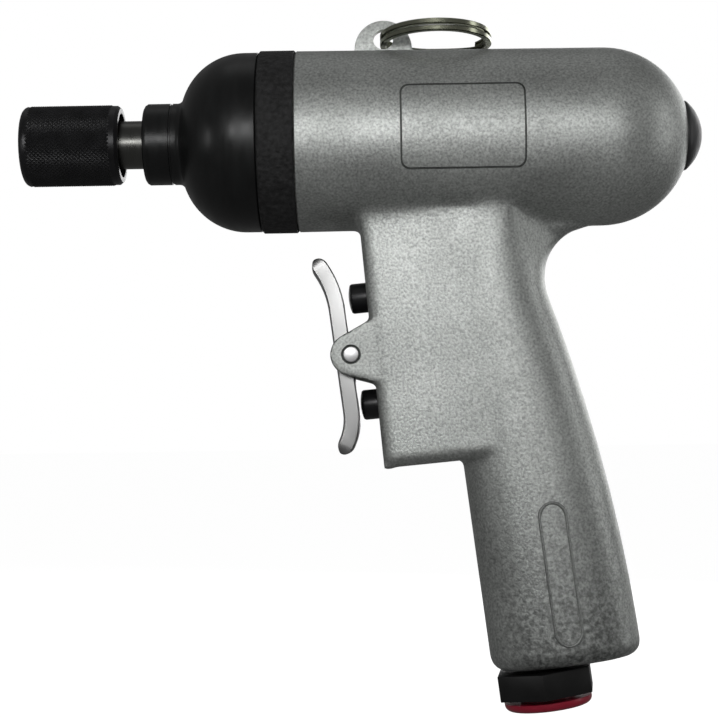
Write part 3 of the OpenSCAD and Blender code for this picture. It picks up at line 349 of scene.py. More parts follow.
stations = [(w, grip_front, grip_back(w), grip_half + spread_at(w, grip_half, 10))
            for w in (17, 20, 23, 26, 27.4, 28.3, 28.9, 29.5, 30.2, 31, 32, 33.2, 34.8, 36.6, 39,
                      42, 46, 51, 57, 65, 74, 85, 97, 109, 121, 132)]
foot_round = 3.6
for k in range(5):
    a = math.radians(22.5 * k)
    inset = foot_round * (1 - math.cos(a))
    w = grip_long - foot_round * (1 - math.sin(a))
    stations.append((w, grip_front - inset, grip_back(w) - inset, grip_half - inset))
w, front, back, half = stations[0]
square = 0.8        # below 1, the section is fuller in its corners than an ellipse
rest()
bpy.ops.mesh.primitive_circle_add(vertices=64, radius=1, fill_type="NGON", location=(0, 0, 0))
grip = bpy.context.object
grip.name = "housing_grip"
for v in grip.data.vertices:
    a = math.atan2(v.co.y, v.co.x)
    c, s = math.cos(a), math.sin(a)
    v.co = ((back - front) / 2 * mm + (back + front) / 2 * mm * math.copysign(abs(c) ** square, c),
            half * mm * math.copysign(abs(s) ** square, s), -w * mm)
bpy.ops.object.mode_set(mode="EDIT")
bpy.ops.mesh.select_all(action="SELECT")
for (w0, f0, b0, h0), (w1, f1, b1, h1) in zip(stations, stations[1:]):
    c0, c1 = (b0 - f0) / 2, (b1 - f1) / 2
    bpy.ops.mesh.extrude_region_move(
        TRANSFORM_OT_translate={"value": ((c1 - c0) * mm, 0, (w0 - w1) * mm)})
    bpy.ops.transform.resize(value=((b1 + f1) / (b0 + f0), h1 / h0, 1),
                             center_override=(c1 * mm, 0, -w1 * mm))
bpy.ops.object.mode_set(mode="OBJECT")
settle(grip)

# up in the throat the walls close in behind the axis, so the neck turns away under the barrel
throat_pinch = 0.56
for spot in grip.data.vertices:
    u, w = spot.co.x / mm, -spot.co.z / mm
    behind, high = ramp((u - 3) / 16), ramp((38 - w) / 9)
    spot.co.y *= 1 - throat_pinch * behind * behind * (3 - 2 * behind) * high
lean_over(grip, grip_at, grip_lean)

# the trigger block, drawn down from the barrel with its foot's edges rounded
face_at, face_tilt = 55.2, 5.0
box_long, box_half, box_round, box_foot = 40, 12.4, 3, 88.7
front_half, rear_half = 15.3, 17.6
rest()
bpy.ops.mesh.primitive_plane_add(size=1, location=(box_long / 2 * mm, 0, -18.5 * mm))
box = bpy.context.object
box.name = "housing_block"
for v in box.data.vertices:
    v.co.x = v.co.x * box_long * mm
    v.co.y = math.copysign((front_half if v.co.x < 0 else rear_half) * mm, v.co.y)
bpy.ops.object.mode_set(mode="EDIT")
bpy.ops.mesh.select_all(action="SELECT")
flare = [(w, spread_at(w, box_half, 8)) for w in (18.5, 19.5, 21, 22.5, 24.5, 60, 85.2)]
for (w0, s0), (w1, s1) in zip(flare, flare[1:]):
    bpy.ops.mesh.extrude_region_move(TRANSFORM_OT_translate={"value": (0, 0, (w0 - w1) * mm)})
    bpy.ops.transform.resize(value=(1, (box_half + s1) / (box_half + s0), 1),
                             center_override=(0, 0, 0))
for k in range(1, 5):
    a, b = math.radians(22.5 * (k - 1)), math.radians(22.5 * k)
    h0, h1 = box_half - box_round * (1 - math.cos(a)), box_half - box_round * (1 - math.cos(b))
    bpy.ops.mesh.extrude_region_move(
        TRANSFORM_OT_translate={"value": (0, 0, -box_round * mm * (math.sin(b) - math.sin(a)))})
    bpy.ops.transform.resize(value=(1, h1 / h0, 1), center_override=(0, 0, 0))
bpy.ops.object.mode_set(mode="OBJECT")
settle(box)
round_edges(box, lambda a, b: max(a.x, b.x) < mm and abs(a.z - b.z) > 0.1 * mm, 3.0, 6)
for spot in box.data.vertices:
    spot.co.z = max(spot.co.z, -box_foot * mm)
lean_over(box, face_at, face_tilt)

# two ears for the trigger's pin: a round end with a web running back to the block
pivot_u, pivot_d, ear_round = -5.6, 57.7, 5.5
ear_inner, ear_outer, web_reach = 9.22, 12.38, 5.5
ears = []
for side in (-1, 1):
    near, far = sorted((side * ear_inner, side * ear_outer))
    ear = rod("ear_round", ear_round, (pivot_u, near, -pivot_d), (pivot_u, far, -pivot_d), 64)
    web = block("ear_web", (pivot_u, near, -pivot_d - 5), (web_reach, far, -pivot_d + 5))
    for corner in web.data.vertices:
        upper = corner.co.z > -pivot_d * mm
        slope = math.radians(24 if upper else 20)
        at_u = pivot_u - ear_round * math.sin(slope)
        at_d = ear_round * math.cos(slope)
        out = web_reach if corner.co.x > 0 else at_u
        rise = at_d + (out - at_u) * math.tan(slope)
        corner.co.x, corner.co.z = out * mm, (-pivot_d + (rise if upper else -rise)) * mm
    carve(ear, web, operation="UNION")
    ears.append(lean_over(ear, face_at, face_tilt))

# the lug stands on the barrel's top line, a thin rounded tab
lug_x = 64.3 - nose
lug = rod("lug_tab", 7.7, (lug_x, -1.6, 24.6), (lug_x, 1.6, 24.6), 64)
for spot in lug.data.vertices:
    aside = spot.co.x - lug_x * mm
    if spot.co.z < 24.5 * mm:
        spot.co.z = 20 * mm
        spot.co.x += aside * (0.5 if aside > 0 else 0.15)
chamfer(lug, 0.5, 3, 40)

housing = weld(barrel, grip, box, *ears)
housing.name = "cast_body"
modify(housing, "REMESH", mode="VOXEL", voxel_size=0.72 * mm, use_smooth_shade=True)
modify(housing, "SMOOTH", factor=0.5, iterations=6)

# where the block's sides run back into the grip the casting flows without an edge
flow = housing.vertex_groups.new(name="flow")
for spot in housing.data.vertices:
    x, z = spot.co.x / mm, spot.co.z / mm
    ease = ramp((x - 62) / 8) * ramp((104 - x) / 8) * (ramp((-20 - z) / 5) * ramp((z + 80) / 9))
    if ease > 0:
        flow.add([spot.index], ease, "REPLACE")
modify(housing, "SMOOTH", factor=0.5, iterations=140, vertex_group="flow")
carve(housing, lug, operation="UNION")


def noise_at(tree, source, size, detail=3):
    """A noise node whose grain is that many mm across."""
    node = tree.nodes.new("ShaderNodeTexNoise")
    node.inputs["Scale"].default_value = 1000.0 / size
    node.inputs["Detail"].default_value = detail
    tree.links.new(source, node.inputs["Vector"])
    return node


def finish(name, colour, rough, metal=1.0, grain=0.0, grain_size=0.5, blotch=0.0, blotch_size=14.0,
           speck=0.0, speck_size=0.6, stretch=(1, 1, 1)):
    """A procedural finish: base colour, fine grain in the surface, slow blotches and dark specks.
    Sizes are in mm of the piece itself."""
    made = bpy.data.materials.new(name)
    made.use_nodes = True
    net = made.node_tree
    shader = net.nodes["Principled BSDF"]
    shader.inputs["Metallic"].default_value = metal
    where = net.nodes.new("ShaderNodeTexCoord")
    lay = net.nodes.new("ShaderNodeMapping")
    lay.inputs["Scale"].default_value = stretch
    slow = noise_at(net, lay.outputs["Vector"], blotch_size, 5)
    fine = noise_at(net, lay.outputs["Vector"], grain_size)
    spot = noise_at(net, lay.outputs["Vector"], speck_size)
    shade = map_range(net, 0.3, 0.7, 1 - blotch, 1 + blotch)
    dots = map_range(net, 0.32, 0.68, 1 - speck, 1 + speck)
    gloss = map_range(net, 0.3, 0.7, max(0.05, rough - 0.06), min(1.0, rough + 0.06))
    grey = net.nodes.new("ShaderNodeMath")
    grey.operation = "MULTIPLY"
    tint = net.nodes.new("ShaderNodeVectorMath")
    tint.operation = "SCALE"
    tint.inputs[0].default_value = colour
    bump = net.nodes.new("ShaderNodeBump")
    bump.inputs["Strength"].default_value = 1.0
    bump.inputs["Distance"].default_value = grain * mm
    join_up(net, (where.outputs["Object"], lay.inputs["Vector"]),
            (slow.outputs["Fac"], shade.inputs["Value"]),
            (spot.outputs["Fac"], dots.inputs["Value"]),
            (shade.outputs["Result"], grey.inputs[0]), (dots.outputs["Result"], grey.inputs[1]),
            (grey.outputs[0], tint.inputs["Scale"]),
            (tint.outputs["Vector"], shader.inputs["Base Color"]),
            (slow.outputs["Fac"], gloss.inputs["Value"]),
            (gloss.outputs["Result"], shader.inputs["Roughness"]),
            (fine.outputs["Fac"], bump.inputs["Height"]),
            (bump.outputs["Normal"], shader.inputs["Normal"]))
    return made


def dress(piece, material):
    piece.data.materials.clear()
    piece.data.materials.append(material)


def belongs(piece, body, slot, *nodes):
    """Ride the piece on its body and hide the CAD pieces it stands for. The slot is not used."""
    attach(piece, body)
    if nodes:
        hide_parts(*nodes)


def finish_node(node, material):
    """Dress a piece that is carried over from the CAD."""
    dress(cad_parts[node], material)


blasted = finish("blasted_aluminium", (0.43, 0.445, 0.43), 0.53, 0.95, grain=0.075, grain_size=0.62,
                 blotch=0.05, blotch_size=18, speck=0.27, speck_size=0.62)

# painted shade: the grip's sides are darkened towards the foot in a mottle of noise, less so near
# the middle plane; heights and distances from the middle plane are in metres
foot_painted_shade = blasted.node_tree
spread = next(n for n in foot_painted_shade.nodes if n.type == "TEX_COORD").outputs["Object"]
plain = foot_painted_shade.nodes["Principled BSDF"].inputs["Base Color"]
before = plain.links[0].from_socket
height = foot_painted_shade.nodes.new("ShaderNodeSeparateXYZ")
fade = map_range(foot_painted_shade, -0.132, -0.088, 0.0, 1.0)
aside = foot_painted_shade.nodes.new("ShaderNodeMath")
aside.operation = "ABSOLUTE"
edge = map_range(foot_painted_shade, 0.009, 0.0145, 0.75, 0.0)
most = foot_painted_shade.nodes.new("ShaderNodeMath")
most.operation = "MAXIMUM"
shade_mottle = noise_at(foot_painted_shade, spread, 1.3, 4)
depth = map_range(foot_painted_shade, 0.38, 0.62, 0.38, 0.86)
shade_dim = foot_painted_shade.nodes.new("ShaderNodeMix")
shade_dim.inputs["B"].default_value = 1.0
whole = foot_painted_shade.nodes.new("ShaderNodeVectorMath")
whole.operation = "SCALE"
join_up(foot_painted_shade, (spread, height.inputs[0]), (height.outputs["Z"], fade.inputs["Value"]),
        (shade_mottle.outputs["Fac"], depth.inputs["Value"]), (height.outputs["Y"], aside.inputs[0]),
        (aside.outputs[0], edge.inputs["Value"]), (fade.outputs["Result"], most.inputs[0]),
        (edge.outputs["Result"], most.inputs[1]), (most.outputs[0], shade_dim.inputs["Factor"]),
        (depth.outputs["Result"], shade_dim.inputs["A"]), (before, whole.inputs[0]),
        (shade_dim.outputs["Result"], whole.inputs["Scale"]), (whole.outputs["Vector"], plain))
dress(housing, blasted)

# machined: the front is faced and bored for the case and the motor, the rear spot-faced
bores = turned("axis_bores", [(20, 0), (20, 30), (41.5, 30), (41.5, 24.5), (40.82, 23.7),
                              (40.82, 21.5), (41.2, 21.03), (51.2, 21.03), (51.2, 20.06),
                              (114.2, 20.06), (114.2, 7.22), (144.25, 7.22), (144.25, 9.32),
                              (152, 9.32), (152, 0)], 96)
tools = [bores]
valve_drops = (42.4, 71.0)
for drop in valve_drops:
    tools.append(lean_over(rod("valve_bore", 6.02, (-2, 0, -drop), (33, 0, -drop)),
                           face_at, face_tilt))
tools.append(lean_over(rod("pin_bore", 2.02, (pivot_u, -14, -pivot_d), (pivot_u, 14, -pivot_d)),
                       face_at, face_tilt))
for side in (-1, 1):
    tools.append(lean_over(rod("pin_sink", 2.6, (pivot_u, side * 11.5, -pivot_d),
                               (pivot_u, side * 14, -pivot_d)), face_at, face_tilt))
tools.append(lean_over(rod("inlet_bore", 9.02, (0, 0, -grip_long + 12), (0, 0, -grip_long - 2), 64),
                       grip_at, grip_lean))
tools.append(lean_over(rod("exhaust_bore", 3.52, (18.4, 0, -grip_long + 5.8),
                           (18.4, 0, -grip_long - 2)), grip_at, grip_lean))
tools.append(rod("lug_hole", 2.7, (lug_x, -3, 27.2), (lug_x, 3, 27.2)))

# the nameplate's rounded outline is cut as a groove on the near side, the field inside left bare
plate_left, plate_right, line_wide = 68.3 - nose, 100.7 - nose, 0.5
plate = block("plate_outer", (plate_left, -30, -11.1), (plate_right, -15, 11.1))
field = block("plate_inner", (plate_left + line_wide, -31, -10.6),
              (plate_right - line_wide, -14, 10.6))
for sheet, corner in ((plate, 2.4), (field, 2.0)):
    round_edges(sheet, lambda a, b: abs(a.y - b.y) > 5 * mm, corner, 6)
carve(plate, field)
carve(plate, turned("engraving_depth", [(60, barrel_r), (110, 23.48), (110, 30), (60, 30)], 160,
                    closed=True), operation="INTERSECT")
# the groove round the nameplate and the pins' sunk rings take a near-black colour: painted shade in
# these recesses
recess_shade = finish("painted_recess_shade", (0.10, 0.105, 0.10), 0.7, 0.6, blotch=0.3, blotch_size=3)
tools.append(plate)
for tool in tools:
    dress(tool, recess_shade if tool.name.startswith(("plate", "pin_sink")) else blasted)
carve(housing, *tools, keep_finish=True)
smooth(housing, 32)

# a raised obround frame runs along the grip's near side, cast with it and empty here
half_wide, top_end, low_end, middle_u = 3.95, 102.3, 132.4, 6.7
run = []
for k in range(17):
    a = math.pi * k / 16
    run.append((middle_u + half_wide * math.cos(a), top_end - half_wide * math.sin(a)))
for k in range(1, 24):
    run.append((middle_u - half_wide, top_end + (low_end - top_end) * k / 24))
for k in range(17):
    a = math.pi * k / 16
    run.append((middle_u - half_wide * math.cos(a), low_end + half_wide * math.sin(a)))
for k in range(1, 24):
    run.append((middle_u + half_wide, low_end - (low_end - top_end) * k / 24))
rest()
bpy.ops.mesh.primitive_circle_add(vertices=len(run), radius=1, fill_type="NOTHING")
frame_bead = bpy.context.object
frame_bead.name = "obround_frame"
for v, (u, w) in zip(frame_bead.data.vertices, run):
    v.co = (u * mm, -17 * mm, -w * mm)
bpy.ops.object.mode_set(mode="EDIT")
bpy.ops.mesh.select_all(action="SELECT")
for inset in (0.33, 0.3, 0.33):
    bpy.ops.mesh.extrude_region_move()
    high = (low_end - top_end) + 2 * half_wide
    now = half_wide - inset
    bpy.ops.transform.resize(value=(now / half_wide, 1, (high - 2 * inset) / high),
                             center_override=(middle_u * mm, -17 * mm,
                                              -(top_end + low_end) / 2 * mm))
    half_wide = now
bpy.ops.object.mode_set(mode="OBJECT")
lean_over(frame_bead, grip_at, grip_lean)

# laid on the grip: the outer and inner rows sink in a little, the two between stand proud
for n, v in enumerate(frame_bead.data.vertices):
    hit, spot, _, _ = housing.ray_cast(Vector((v.co.x, -0.05, v.co.z)), Vector((0, 1, 0)))
    if hit:
        v.co = spot
    v.co.y -= (-0.15, 0.45, 0.45, -0.15)[n // len(run)] * mm
smooth(frame_bead, 70)
# the bead is a darker grey than the casting: painted shade that stands for the dark lines along its
# sides
dress(frame_bead, finish("frame_painted_shade", (0.27, 0.28, 0.27), 0.55, 0.95, grain=0.03, blotch=0.1,
                         blotch_size=4, speck=0.2, speck_size=0.6))
belongs(housing, "tool_body", "cast_housing", "motor_housing")
belongs(frame_bead, "tool_body", "cast_housing")

# ---------------------------------------------------------------------------
# Hammer case: turned steel, blacked, with a straight boss at the nose that
# carries a fine groove; it is held into the housing over a rough black band.
# ---------------------------------------------------------------------------
case = turned("case_shell", [(0, 8.52), (0, 9.9), (0.35, 10.5), (1, 10.9), (7.0, 10.9),
                             (7.12, 10.62), (7.55, 10.62), (7.67, 10.9), (8.9, 10.9),
                             (9.5, 11.03), (10.05, 11.4)]
              + arc(27.1, 6.5, 17.5, 162, 90, 22)
              + [(30.75, 24), (31.2, 23.55), (31.2, 21.0), (50.8, 21.0), (50.8, 18.0), (18.5, 18.0),
                 (14.5, 14.0), (14.5, 8.52)], 128, closed=True)
smooth(case, 28)
satin_black = finish("satin_black_case", (0.010, 0.0105, 0.0105), 0.34, 0.45, grain=0.004,
                     grain_size=0.3, blotch=0.18, blotch_size=9, stretch=(4, 1, 1))
dress(case, satin_black)
belongs(case, "tool_body", "black_case", "hammer_case")

band = turned("grip_band", [(31.22, 21.03), (31.22, 24.05), (31.6, 24.42), (40.4, 24.42),
                            (40.78, 24.05), (40.78, 21.03)], 160, closed=True)
smooth(band, 28)
rough_band = finish("rough_black_band", (0.008, 0.008, 0.0082), 0.74, 0.10, grain=0.6,
                    grain_size=1.5, blotch=0.3, blotch_size=3, speck=0.9, speck_size=1.2)
dress(band, rough_band)
belongs(band, "tool_body", "rough_black", "coupling_band")

# ---------------------------------------------------------------------------
# Bit sleeve: a black collar with a diamond knurl rolled over its whole length,
# rounded at the front; its bore holds the spring and presses on the lock ball.
# ---------------------------------------------------------------------------
cone_end = -6.5 - 1.8 - 1.4     # the cone that presses on the ball widens to here from radius 6.5
cone_r = 6.5 + 0.3857 * (cone_end + 15.9)
knurl_from, knurl_pitch, knurl_rows, knurl_r, knurl_high = -31.0, 1.18, 19, 10.62, 0.24
collar = turned("knurled_collar", arc(knurl_from, 8.9, 1.9, 180, 105, 5)
                + [(knurl_from + knurl_pitch * k, knurl_r) for k in range(knurl_rows + 1)]
                + [(-7.35, knurl_r), (-7.2, 10.5), (-6.5, 9.9), (-6.5, 8.6), (-8.3, 8.6),
                   (-8.3, cone_r), (cone_end, cone_r), (-15.9, 6.5), (-18.1, 6.5), (-18.1, 8.4),
                   (-32.7, 8.4), (-32.88, 8.6)], 64, closed=True)


def on_knurl(f, radius, slack):
    """True for a face of the collar's straight outer wall, near that radius."""
    return (abs(math.hypot(f.center.y, f.center.z) - radius * mm) < slack * mm
            and (knurl_from - 0.05) * mm < f.center.x + nose * mm
            < (knurl_from + knurl_pitch * knurl_rows + 0.05) * mm)


def choose(piece, faces=lambda f: False, edges=lambda e: False):
    """Select only the faces or edges that pass a test."""
    for parts in (piece.data.polygons, piece.data.edges, piece.data.vertices):
        for each in parts:
            each.select = False
    for f in piece.data.polygons:
        if faces(f):
            f.select = True
    for e in piece.data.edges:
        if edges(e):
            e.select = True


# each wall face is poked, and the old edges between two poked faces dissolve, which leaves
# diamonds; each diamond's middle is then raised
pick(collar)
choose(collar, faces=lambda f: on_knurl(f, 10.61, 0.08))
first = len(collar.data.vertices)
bpy.ops.object.mode_set(mode="EDIT")
bpy.ops.mesh.select_mode(type="FACE")
bpy.ops.mesh.poke()
bpy.ops.object.mode_set(mode="OBJECT")
shared = {}
for f in collar.data.polygons:
    if f.select:
        for k in f.edge_keys:
            shared[k] = shared.get(k, 0) + 1
bpy.ops.object.mode_set(mode="EDIT")
bpy.ops.mesh.select_mode(type="EDGE")
bpy.ops.object.mode_set(mode="OBJECT")
choose(collar, edges=lambda e: all(i < first for i in e.vertices) and shared.get(e.key, 0) == 2)
bpy.ops.object.mode_set(mode="EDIT")
bpy.ops.mesh.dissolve_edges(use_verts=False)
bpy.ops.mesh.select_mode(type="FACE")
bpy.ops.object.mode_set(mode="OBJECT")
choose(collar, faces=lambda f: (len(f.vertices) == 4 and abs(f.normal.x) < 0.2
                                and f.area < 0.95 * mm * mm and on_knurl(f, 10.60, 0.1)))
bpy.ops.object.mode_set(mode="EDIT")
bpy.ops.mesh.poke(offset=knurl_high * mm)
bpy.ops.mesh.select_mode(type="VERT")
bpy.ops.object.mode_set(mode="OBJECT")
smooth(collar, 24)
knurl_black = finish("knurled_black_steel", (0.013, 0.013, 0.014), 0.34, 0.5, grain=0.01,
                     grain_size=0.4, blotch=0.25, blotch_size=4)
dress(collar, knurl_black)
belongs(collar, "sleeve", "black_sleeve", "bit_sleeve")

# ---------------------------------------------------------------------------
# Anvil, clip, washer, spring and ball inside the collar: turned steel shaft
# with its hex socket, a coil spring with ground ends and a snap ring.
# ---------------------------------------------------------------------------
turned_steel = finish("turned_steel", (0.12, 0.12, 0.113), 0.30, 1.0, grain=0.012, grain_size=0.6,
                      blotch=0.06, stretch=(9, 1, 1))
spring_wire = finish("spring_wire", (0.36, 0.36, 0.37), 0.30, 1.0, grain=0.004, blotch=0.1,
                     blotch_size=2)
snap_steel = finish("snap_ring_steel", (0.10, 0.10, 0.11), 0.36, 1.0, blotch=0.15, blotch_size=2)
washer_steel = finish("washer_steel", (0.30, 0.30, 0.31), 0.34, 1.0, grain=0.006, blotch=0.08)
ball_steel = finish("ball_steel", (0.62, 0.62, 0.63), 0.08, 1.0, blotch=0.02)
finish_node("anvil", turned_steel)
finish_node("sleeve_washer", washer_steel)
finish_node("sleeve_clip", snap_steel)
finish_node("lock_ball", ball_steel)
finish_node("sleeve_spring", spring_wire)

# ---------------------------------------------------------------------------
# Split ring: two close turns of flat nickel-plated wire through the lug.
# ---------------------------------------------------------------------------
ring_mid, ring_tilt, ring_step = 14.15, 4, 5
wire_outline = [(-0.85, -0.5), (-0.65, -0.7), (0.65, -0.7), (0.85, -0.5), (0.85, 0.5), (0.65, 0.7),
                (-0.65, 0.7), (-0.85, 0.5)]

# the wire's section takes its points in the order in which the emptied plane hands them out, not
# the outline's, so it crosses itself at one corner
rest()
bpy.ops.mesh.primitive_plane_add(size=1, location=(0, 0, 0))
hang = bpy.context.object
hang.name = "flat_wire_ring"
bpy.ops.object.mode_set(mode="EDIT")
bpy.ops.mesh.delete(type="VERT")
bpy.ops.mesh.primitive_circle_add(vertices=len(wire_outline), radius=1, fill_type="NGON")
bpy.ops.object.mode_set(mode="OBJECT")


def ring_rise(turn):
    """The wire's height after that many degrees: it steps from the lower turn to the upper one."""
    t = min(1.0, max(0.0, (turn - 300) / 90))
    return 1.85 * t * t * (3 - 2 * t) - 0.925


lift = ring_rise(0)
for v, (r, h) in zip(hang.data.vertices, wire_outline):
    a = math.radians(60)
    v.co = ((ring_mid + r) * math.cos(a) * mm, (ring_mid + r) * math.sin(a) * mm, (h + lift) * mm)
bpy.ops.object.mode_set(mode="EDIT")
bpy.ops.mesh.select_all(action="SELECT")
for k in range(1, 140):
    turn = ring_step * k
    bpy.ops.mesh.extrude_region_move(
        TRANSFORM_OT_translate={"value": (0, 0, (ring_rise(turn) - lift) * mm)})
    bpy.ops.transform.rotate(value=-math.radians(ring_step), orient_axis="Z", orient_type="GLOBAL",
                             center_override=(0, 0, 0))
    lift = ring_rise(turn)
bpy.ops.object.mode_set(mode="OBJECT")
hang.matrix_world = (Matrix.Translation((lug_x * mm, 0, 27.1 * mm))
                     @ Matrix.Rotation(math.radians(-ring_tilt), 4, "X")
                     @ Matrix.Translation((ring_mid * mm, 0, 0)))
bpy.context.view_layer.update()
settle(hang)
smooth(hang, 40)
nickel = finish("ring_nickel", (0.30, 0.31, 0.235), 0.24, 1.0, grain=0.003, blotch=0.10,
                blotch_size=5)
dress(hang, nickel)
belongs(hang, "ring", "ring_nickel", "split_ring")

# ---------------------------------------------------------------------------
# Trigger lever: a polished steel rocker, crowned across and curled back at
# both tips, on a steel pin; a black button works under each end.
# ---------------------------------------------------------------------------
lever_long, lever_top, lever_half, lever_deep, crown_r = 51.5, 26.0, 8.85, 2.25, 60.0


def curl(radius, reach):
    """How far an arc of that radius has turned away, that far along its tangent."""
    return 0.0 if reach <= 0 else radius - math.sqrt(radius * radius - reach * reach)


def lever_line(d):
    """Middle of the lever's section, d mm below its pin."""
    low = lever_long - lever_top
    back = curl(24.5, -d - lever_top + 13.6) if d < 0 else curl(16.0, d - low + 10.8)
    return (-7.8 + d * math.tan(math.radians(2.2)) - back, -pivot_d - d)


side = math.asin(lever_half / crown_r)
crown = [(lever_deep, -8.55), (lever_deep, 8.55), (1.9, 8.82), (0.2, lever_half)]
crown += [(crown_r * (1 - math.cos(a)) - lever_deep, crown_r * math.sin(a) * 0.985)
          for a in [side - 2 * side * k / 14 for k in range(15)]]
crown += [(0.2, -lever_half), (1.9, -8.82)]
rest()
bpy.ops.mesh.primitive_circle_add(vertices=len(crown), radius=1, fill_type="NGON")
lever = bpy.context.object
lever.name = "rocker_lever"

# stations down the lever, with the section drawn in to a round at both tips
spots = []
for k in range(7):
    a = math.radians(90 * (k + 0.35) / 6.35)
    spots.append((lever_deep * (1 - math.cos(a)) - lever_top, math.sin(a)))
for k in range(1, 27):
    spots.append((lever_deep - lever_top + (lever_long - 2 * lever_deep) * k / 27, 1.0))
for k in range(7):
    a = math.radians(90 - 90 * k / 6.35)
    spots.append((lever_long - lever_top - lever_deep * (1 - math.cos(a)), math.sin(a)))
sections = []
for d, shrink in spots:
    (u0, z0), (u1, z1), (u, z) = lever_line(d - 0.3), lever_line(d + 0.3), lever_line(d)
    long = math.hypot(u1 - u0, z1 - z0)
    n = (-(z1 - z0) / long, (u1 - u0) / long)
    sections.append([((u + n[0] * p * shrink) * mm, q * (1 - 0.12 * (1 - shrink)) * mm,
                      (z + n[1] * p * shrink) * mm) for p, q in crown])
bpy.ops.object.mode_set(mode="EDIT")
bpy.ops.mesh.select_all(action="SELECT")
for _ in sections[1:]:
    bpy.ops.mesh.extrude_region_move()
bpy.ops.object.mode_set(mode="OBJECT")
for n, v in enumerate(lever.data.vertices):
    v.co = sections[n // len(crown)][n % len(crown)]
settle(lever)
hub = rod("lever_hub", 3.2, (pivot_u, -lever_half, -pivot_d), (pivot_u, lever_half, -pivot_d), 64)
chamfer(hub, 0.25, 2, 40)
carve(lever, hub, operation="UNION")
carve(lever, rod("lever_eye", 2.05, (pivot_u, -12, -pivot_d), (pivot_u, 12, -pivot_d), 64))
lean_over(lever, face_at, face_tilt)
smooth(lever, 30)
polished = finish("polished_lever_steel", (0.33, 0.33, 0.328), 0.34, 1.0, grain=0.004,
                  blotch=0.03, stretch=(1, 5, 1))
dress(lever, polished)
belongs(lever, "lever", "polished_lever", "trigger_lever")

pin = rod("trigger_pin_bar", 2.0, (pivot_u, -12.2, -pivot_d), (pivot_u, 12.2, -pivot_d), 48)
chamfer(pin, 0.2, 2, 40)
lean_over(pin, face_at, face_tilt)
smooth(pin, 30)
pin_steel = finish("ground_pin_steel", (0.62, 0.62, 0.62), 0.45, 1.0, grain=0.003, blotch=0.05)
dress(pin, pin_steel)
belongs(pin, "tool_body", "pin_steel", "trigger_pin")

button_black = finish("black_button_steel", (0.012, 0.012, 0.013), 0.32, 0.3, grain=0.003,
                      blotch=0.1)
dome_r, dome_edge = 12, 3.3
bulge = dome_r - math.sqrt(dome_r ** 2 - dome_edge ** 2)
for drop, out, body, name in ((valve_drops[0], 4.9, "upper_push", "upper"),
                              (valve_drops[1], 4.6, "lower_push", "lower")):
    outline = [(-out, 0.0)]
    for k in range(1, 7):
        r = dome_edge * k / 6
        outline.append((-out + dome_r - math.sqrt(dome_r ** 2 - r * r), r))
    outline += [(-out + bulge + 0.2, 3.75), (-out + bulge + 0.7, 4.0), (5.0, 4.0), (5.0, 0.0)]
    cap = turned(name + "_cap", [(x + nose, r) for x, r in outline], 64)
    for v in cap.data.vertices:
        v.co.z -= drop * mm
    lean_over(cap, face_at, face_tilt)
    smooth(cap, 30)
    dress(cap, button_black)
    belongs(cap, body, "black_button", name + "_button")

# ---------------------------------------------------------------------------
# Rear plug: a black rubber button pressed into the spot face on the dome.
# ---------------------------------------------------------------------------
plug_x, plug_r, plug_rise = 144.27, 9.3, 4.4
head_r = (plug_r ** 2 + plug_rise ** 2) / (2 * plug_rise)
head_x = plug_x + 0.6 + plug_rise - head_r
head_edge = math.degrees(math.asin(plug_r / head_r))
rear = turned("rear_rubber", [(122.27, 0), (122.27, 6.9), (122.6, 7.2), (plug_x, 7.2),
                              (plug_x, plug_r), (144.7, plug_r)]
              + [(head_x + head_r * math.cos(math.radians(a)), head_r * math.sin(math.radians(a)))
                 for a in [head_edge * (1 - k / 16) * 0.985 for k in range(16)]]
              + [(149.27, 0)], 96)
smooth(rear, 32)
rubber = finish("black_rubber", (0.018, 0.018, 0.019), 0.46, 0.0, grain=0.02, grain_size=0.5,
                blotch=0.15, blotch_size=6)
dress(rear, rubber)
belongs(rear, "tool_body", "rubber_black", "rear_plug")

# ---------------------------------------------------------------------------
# Air inlet: a black hexagon bushing screwed into the grip's foot, closed by a
# red plug. The hexagon is 1 mm short of the CAD solid's at both of its faces.
# ---------------------------------------------------------------------------
nut_high, nut_short, plug_seat = 8.8, 1.0, 8.9
nut_middle = grip_long + nut_high / 2
hex_r = 24.1 / math.cos(math.radians(30)) / 2
rest()
bpy.ops.mesh.primitive_cylinder_add(vertices=6, radius=hex_r * mm,
                                    depth=(nut_high - 2 * nut_short) * mm,
                                    location=(0, 0, -nut_middle * mm),
                                    rotation=(0, 0, math.radians(-187)))
nut = bpy.context.object
nut.name = "hex_bushing"
settle(nut)
chamfer(nut, 0.22, 2, 25)
thread = rod("inlet_thread", 9.0, (0, 0, -grip_long - 0.5), (0, 0, -grip_long + 11.7), 64)
chamfer(thread, 0.5, 2, 60)
carve(nut, thread, operation="UNION")
carve(nut, rod("inlet_mouth", 7.4, (0, 0, -grip_long - 10), (0, 0, -grip_long - 6.0), 64),
      rod("inlet_tap", 5.9, (0, 0, -grip_long - 9), (0, 0, -grip_long - nut_high + 16.2), 64),
      rod("inlet_way", 4.0, (0, 0, -grip_long - 9), (0, 0, -grip_long + 14), 48))
lean_over(nut, grip_at, grip_lean)
smooth(nut, 30)
black_oxide = finish("black_oxide_bushing", (0.006, 0.006, 0.006), 0.40, 0.3, grain=0.012,
                     blotch=0.2, blotch_size=5)
dress(nut, black_oxide)
belongs(nut, "tool_body", "black_bushing", "inlet_bushing")

